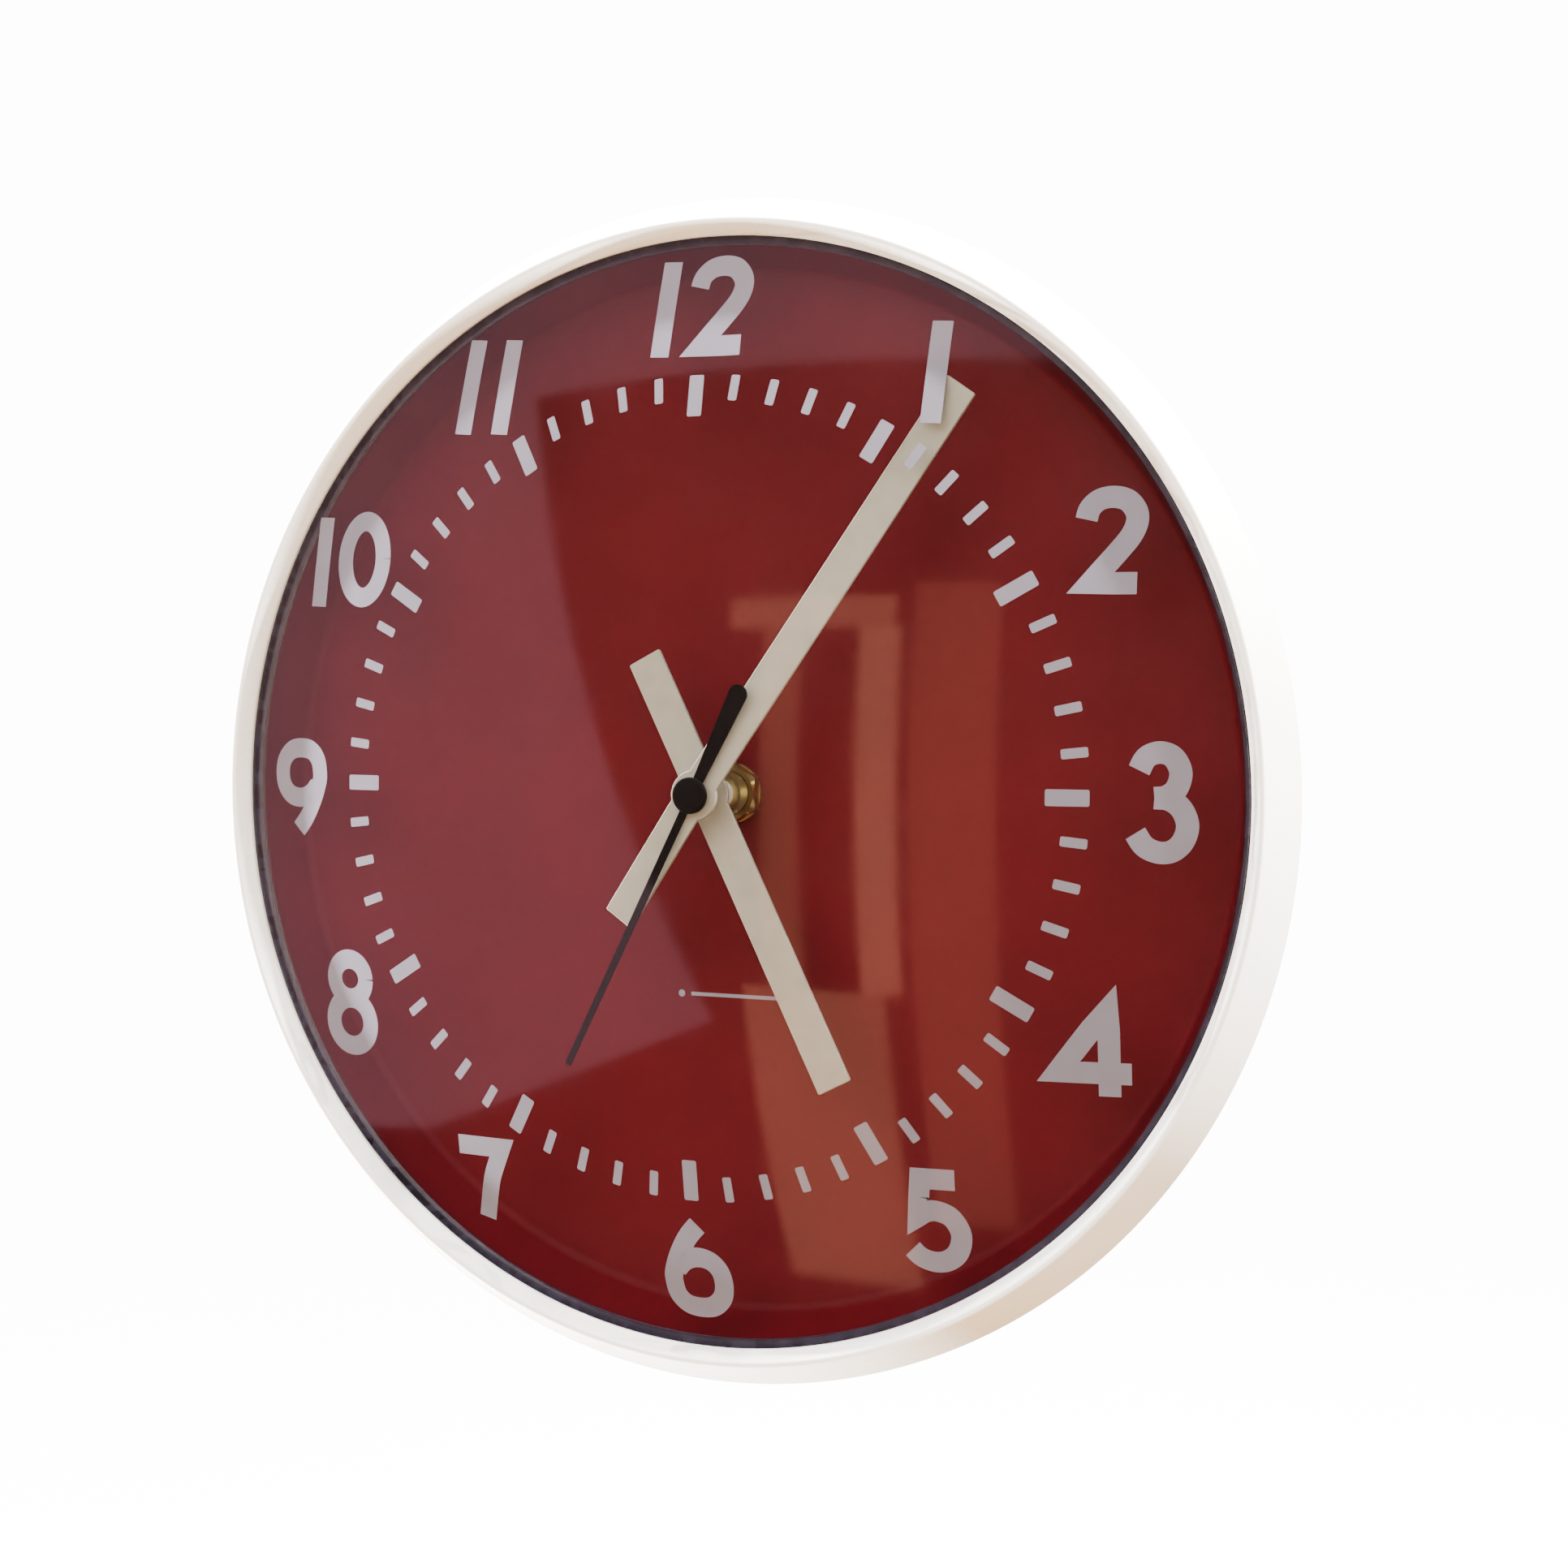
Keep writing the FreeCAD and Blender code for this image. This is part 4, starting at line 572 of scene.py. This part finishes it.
def make_second_hand():
    """Fine tapered needle with a round boss and a wide round tail, under a round cap."""
    front = depth("second_hand")[1]
    length, thickness, boss = 57.0, 0.4, 3.0
    root, tip, tail, tail_length = 0.78, 0.6, 1.85, 20.65
    outline = ([(root, boss), (tip, length), (-tip, length), (-root, boss)] + arc(0, 0, boss, 105, 250, 14)
               + [(-tail, -tail_length)] + arc(0, -tail_length, tail, 180, 360, 14)[1:-1]
               + [(tail, -tail_length)] + arc(0, 0, boss, -70, 75, 14))
    sheet_metal("second_needle", outline, thickness, lambda y: front, SECOND_ANGLE, "second_paint", "second",
                ["second_hand"], round_off=0.06)
    cap_back, cap_front = depth("second_cap")
    radius, hole, top = 3.35, 0.5, 0.4
    turned("second_button", rounded([
        (hole, cap_back, 0), (radius, cap_back, 0.1), (radius, cap_front, 0.5), (0.0, cap_front, 0),
        (0.0, cap_front - top, 0), (hole, cap_front - top, 0)]), "second_paint", "second", ["second_cap"], 64)


# Brass fixings


def make_nut():
    """Hex nut with a chamfered crown, on the threaded bushing."""
    back, front = depth("hex_nut")
    low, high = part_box("hex_nut")
    flats = (high.x - low.x) / 2 / MM
    hole, chamfer, crown = 4.02, 0.35, flats - 0.15
    side_front = front - 0.45
    segments, sixth = 96, math.pi / 3
    points = []
    for angle in turns(segments):
        side = flats / math.cos((angle + sixth / 2) % sixth - sixth / 2)
        profile = [(hole, back), (side, back), (side, side_front), (crown, front), (hole + chamfer, front),
                   (hole, front - chamfer)]
        points += [at(r * math.cos(angle), r * math.sin(angle), d) for r, d in profile]
    mesh = mesh_of("brass_nut", points, ring_faces(segments, len(profile)))
    add_piece("brass_nut", mesh, "brass", "case", ["hex_nut"], 25)


def make_bushing():
    """Threaded bushing. Its thread is drawn as close rings."""
    back, front = depth("threaded_bushing")
    bore, flange, flange_top = 2.61, 5.8, back + 1
    crest, root, pitch, thread_from = 4.0, 3.62, 0.75, 23.9
    end_radius, plain_end = 3.6, 0.3
    profile = [(bore, back), (flange, back), (flange, flange_top), (crest, flange_top), (crest, thread_from)]
    d = thread_from + pitch / 2
    while d < front - plain_end:
        profile += [(root, d), (crest, d + pitch / 2)]
        d += pitch
    profile += [(end_radius, front), (bore, front)]
    turned("bushing_thread", profile, "brass", "case", ["threaded_bushing"], 96, 20)


# Cell


def make_cell():
    """AA cell across its bay: a steel can with its terminal, a dark sleeve, and a copper band at one end."""
    low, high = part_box("battery")
    radius, length = (high.z - low.z) / 2 / MM, (high.x - low.x) / MM
    terminal, terminal_length, corner = 2.7, 1.3, 0.6
    sleeve, sleeve_inset, gap = 0.15, 0.5, 0.05
    can = length - terminal_length
    split = 0.74 * can
    steel = rounded([(0.0, 0.0, 0), (radius - sleeve, 0.0, corner), (radius - sleeve, can, corner),
                     (terminal, can, 0), (terminal, length, 0.4), (0.0, length, 0)])
    jacket = ring_profile(radius, sleeve, sleeve_inset, split)
    band = ring_profile(radius, sleeve, split + gap, can - sleeve_inset)
    turned_across("cell_can", low, high, steel, "spring_steel", ["battery"])
    turned_across("cell_sleeve", low, high, jacket, "cell_jacket", None)
    turned_across("cell_band", low, high, band, "copper", None)


def ring_profile(radius, wall, start, end):
    """Section of a thin ring between two places along the cell."""
    corners = [(radius - wall, start, 0), (radius, start, 0.1), (radius, end, 0.1), (radius - wall, end, 0)]
    return rounded(corners, 3)


def turned_across(name, low, high, profile, paint, replaced, segments=64):
    """Piece of the cell, turned about its own middle from a closed profile of (r, distance along it)."""
    middle = (low + high) / 2
    points = [(low.x + along * MM, middle.y + r * MM * math.cos(angle), middle.z + r * MM * math.sin(angle))
              for angle in turns(segments) for r, along in profile]
    mesh = mesh_of(name, points, ring_faces(segments, len(profile)))
    merge(mesh)
    add_piece(name, mesh, paint, "battery", replaced)


def paint_nodes():
    """Give every CAD node the material of its slot."""
    slots = {part["node"]: part["material_slot"] for part in frame["record"]["subparts"]}
    for name, item in frame["nodes"].items():
        item.data.materials.clear()
        item.data.materials.append(MATERIALS[slots[name]])


# Stage

ROOM_LIGHT = 4.5
SEEN_WHITE = 14.0
MIRRORED_LIGHT = 0.08


def area_light(name, place, aim, width, height, power, colour):
    """Soft light that itself is neither seen nor mirrored."""
    light = bpy.data.lights.new(name, "AREA")
    light.shape = "RECTANGLE"
    light.size, light.size_y = width, height
    light.energy = power
    light.color = colour
    item = bpy.data.objects.new(name, light)
    item.location = place
    item.rotation_euler = (Vector(aim) - Vector(place)).to_track_quat("-Z", "Y").to_euler()
    item.visible_camera = False
    item.visible_glossy = False
    bpy.context.scene.collection.objects.link(item)


def make_world():
    """White room for the camera, light mostly from above, and dim surroundings for reflections."""
    horizon_low, horizon_high = -0.35, 0.55
    world = bpy.data.worlds.new("studio")
    world.use_nodes = True
    nodes, links = world.node_tree.nodes, world.node_tree.links
    place = nodes.new("ShaderNodeTexCoord")
    split = nodes.new("ShaderNodeSeparateXYZ")
    links.new(place.outputs["Generated"], split.inputs["Vector"])
    height = nodes.new("ShaderNodeMapRange")
    height.inputs["From Min"].default_value = horizon_low
    height.inputs["From Max"].default_value = horizon_high
    links.new(split.outputs["Z"], height.inputs["Value"])
    sky = nodes.new("ShaderNodeValToRGB")
    sky.color_ramp.elements[0].color = (0.50, 0.28, 0.10, 1)
    sky.color_ramp.elements[1].color = (1.0, 0.99, 0.97, 1)
    links.new(height.outputs["Result"], sky.inputs["Fac"])
    lit = nodes["Background"]
    links.new(sky.outputs["Color"], lit.inputs["Color"])
    lit.inputs["Strength"].default_value = ROOM_LIGHT
    seen = backdrop(nodes, (1, 1, 1, 1), SEEN_WHITE)
    mirrored = backdrop(nodes, (1.0, 0.62, 0.70, 1), MIRRORED_LIGHT)
    path = nodes.new("ShaderNodeLightPath")
    mirror = mix_shaders(nodes, links, path.outputs["Is Glossy Ray"], lit, mirrored)
    final = mix_shaders(nodes, links, path.outputs["Is Camera Ray"], mirror, seen)
    links.new(final.outputs[0], nodes["World Output"].inputs["Surface"])
    bpy.context.scene.world = world


def backdrop(nodes, colour, strength):
    shader = nodes.new("ShaderNodeBackground")
    shader.inputs["Color"].default_value = colour
    shader.inputs["Strength"].default_value = strength
    return shader


def mix_shaders(nodes, links, factor, first, second):
    mix = nodes.new("ShaderNodeMixShader")
    links.new(factor, mix.inputs["Fac"])
    links.new(first.outputs[0], mix.inputs[1])
    links.new(second.outputs[0], mix.inputs[2])
    return mix


# Reflector cards that stand in front of the clock and show only in its polish. The large card is a sheet with
# slanted sides, and the others are plain oblongs, given as left, right, low and high.
CARD_PLANE = -1.2
MAUVE, ORANGE, RUST, GOLD = (1.0, 0.62, 0.76), (1.0, 0.42, 0.26), (1.0, 0.34, 0.22), (1.0, 0.86, 0.55)
LARGE_CARD = [(-4.2, 1.8), (0.2, 1.2), (0.2, 0.6), (-1.1, 0.65), (-0.55, -0.5), (-1.5, -0.9), (-3.0, -1.3)]
OBLONG_CARDS = [
    ("card_bar", (-0.5, -0.2, 0.15, 0.2), ORANGE, 2.2),
    ("card_post_left", (-0.43, -0.36, -0.43, 0.15), ORANGE, 1.5),
    ("card_post_right", (-0.26, -0.19, -0.43, 0.15), ORANGE, 2.8),
    ("card_panel", (-0.48, -0.22, -1.0, -0.43), ORANGE, 2.1),
    ("card_side", (-0.17, -0.03, -0.85, 0.22), RUST, 1.2),
    ("card_brass", (1.2, 1.9, -0.3, 0.5), GOLD, 6.0),
]


def make_card(name, corners, colour, strength):
    """Glowing card, facing the clock, that only reflections see."""
    mesh = mesh_of(name, [(x, CARD_PLANE, z) for x, z in corners], [tuple(range(len(corners)))])
    paint = bpy.data.materials.new(name)
    paint.use_nodes = True
    nodes, links = paint.node_tree.nodes, paint.node_tree.links
    nodes.remove(nodes["Principled BSDF"])
    glow = nodes.new("ShaderNodeEmission")
    glow.inputs["Color"].default_value = (*colour, 1)
    glow.inputs["Strength"].default_value = strength
    links.new(glow.outputs["Emission"], nodes["Material Output"].inputs["Surface"])
    mesh.materials.append(paint)
    item = bpy.data.objects.new(name, mesh)
    bpy.context.scene.collection.objects.link(item)
    item.visible_camera = False
    item.visible_diffuse = False
    item.visible_shadow = False


def make_cards():
    make_card("card_left", LARGE_CARD, MAUVE, 1.0)
    for name, (left, right, low, high), colour, strength in OBLONG_CARDS:
        corners = [(left, low), (right, low), (right, high), (left, high)]
        make_card(name, corners, colour, strength)


def make_floor():
    """Plain pale floor well below the hanging clock."""
    half, level, glow = 6.0, -0.9, 10.0
    corners = [(-half, -half, level), (half, -half, level), (half, half, level), (-half, half, level)]
    mesh = mesh_of("floor", corners, [(0, 1, 2, 3)])
    item = bpy.data.objects.new("floor", mesh)
    bpy.context.scene.collection.objects.link(item)
    paint = material("floor_paint", (0.9, 0.9, 0.9), 0.8, grain=4, tint=0.01, bump=0.02)
    shader = paint.node_tree.nodes["Principled BSDF"]
    shader.inputs["Emission Color"].default_value = (1, 1, 1, 1)
    shader.inputs["Emission Strength"].default_value = glow
    mesh.materials.append(paint)
    item.visible_diffuse = False
    item.visible_glossy = False


def make_camera():
    """Camera to the right of the clock and a little above its middle, tipped slightly to one side. These
    values are rounded from a camera that a separate script fitted to the photograph."""
    azimuth, elevation, roll = math.radians(24.92), math.radians(1.73), math.radians(0.38)
    aim, distance = Vector((0.0094, -0.0193, -0.0762)), 0.48
    camera = bpy.data.cameras.new("camera")
    camera.sensor_width = 36
    camera.lens = 58.64
    camera.clip_start, camera.clip_end = 0.01, 50
    item = bpy.data.objects.new("camera", camera)
    bpy.context.scene.collection.objects.link(item)
    turn = (Matrix.Rotation(azimuth, 4, "Z") @ Matrix.Rotation(math.pi / 2 - elevation, 4, "X")
            @ Matrix.Rotation(roll, 4, "Z"))
    item.matrix_world = Matrix.Translation(aim) @ turn @ Matrix.Translation((0, 0, distance))
    bpy.context.scene.camera = item


# Small lights level with the crest, as x, z and power. They whiten the case all round, except below on the
# right, and the near side of the bezel keeps them off the dial.
GRAZE_LIGHTS = {
    "graze_left": (-1.3, 0.1, 420),
    "graze_top": (-0.1, 1.2, 300),
    "graze_right": (0.9, 1.0, 240),
    "graze_low": (-0.9, -0.7, 200),
}


def make_lights():
    area_light("key", (-0.7, -1.5, 1.1), (0, 0, -0.08), 1.6, 1.2, 30, (1.0, 0.98, 0.95))
    crest, size = -0.045, 0.05
    for name, (x, z, power) in GRAZE_LIGHTS.items():
        area_light(name, (x, crest, z), (0, -0.03, -0.08), size, size, power, (1.0, 0.99, 0.97))


make_bezel()
make_lens()
make_dial()
for label, digits in NUMERALS.items():
    make_numeral(label, digits)
make_marks()
make_ornament()
make_hour_hand()
make_minute_hand()
make_second_hand()
make_nut()
make_bushing()
make_cell()
paint_nodes()
make_world()
make_cards()
make_floor()
make_camera()
make_lights()
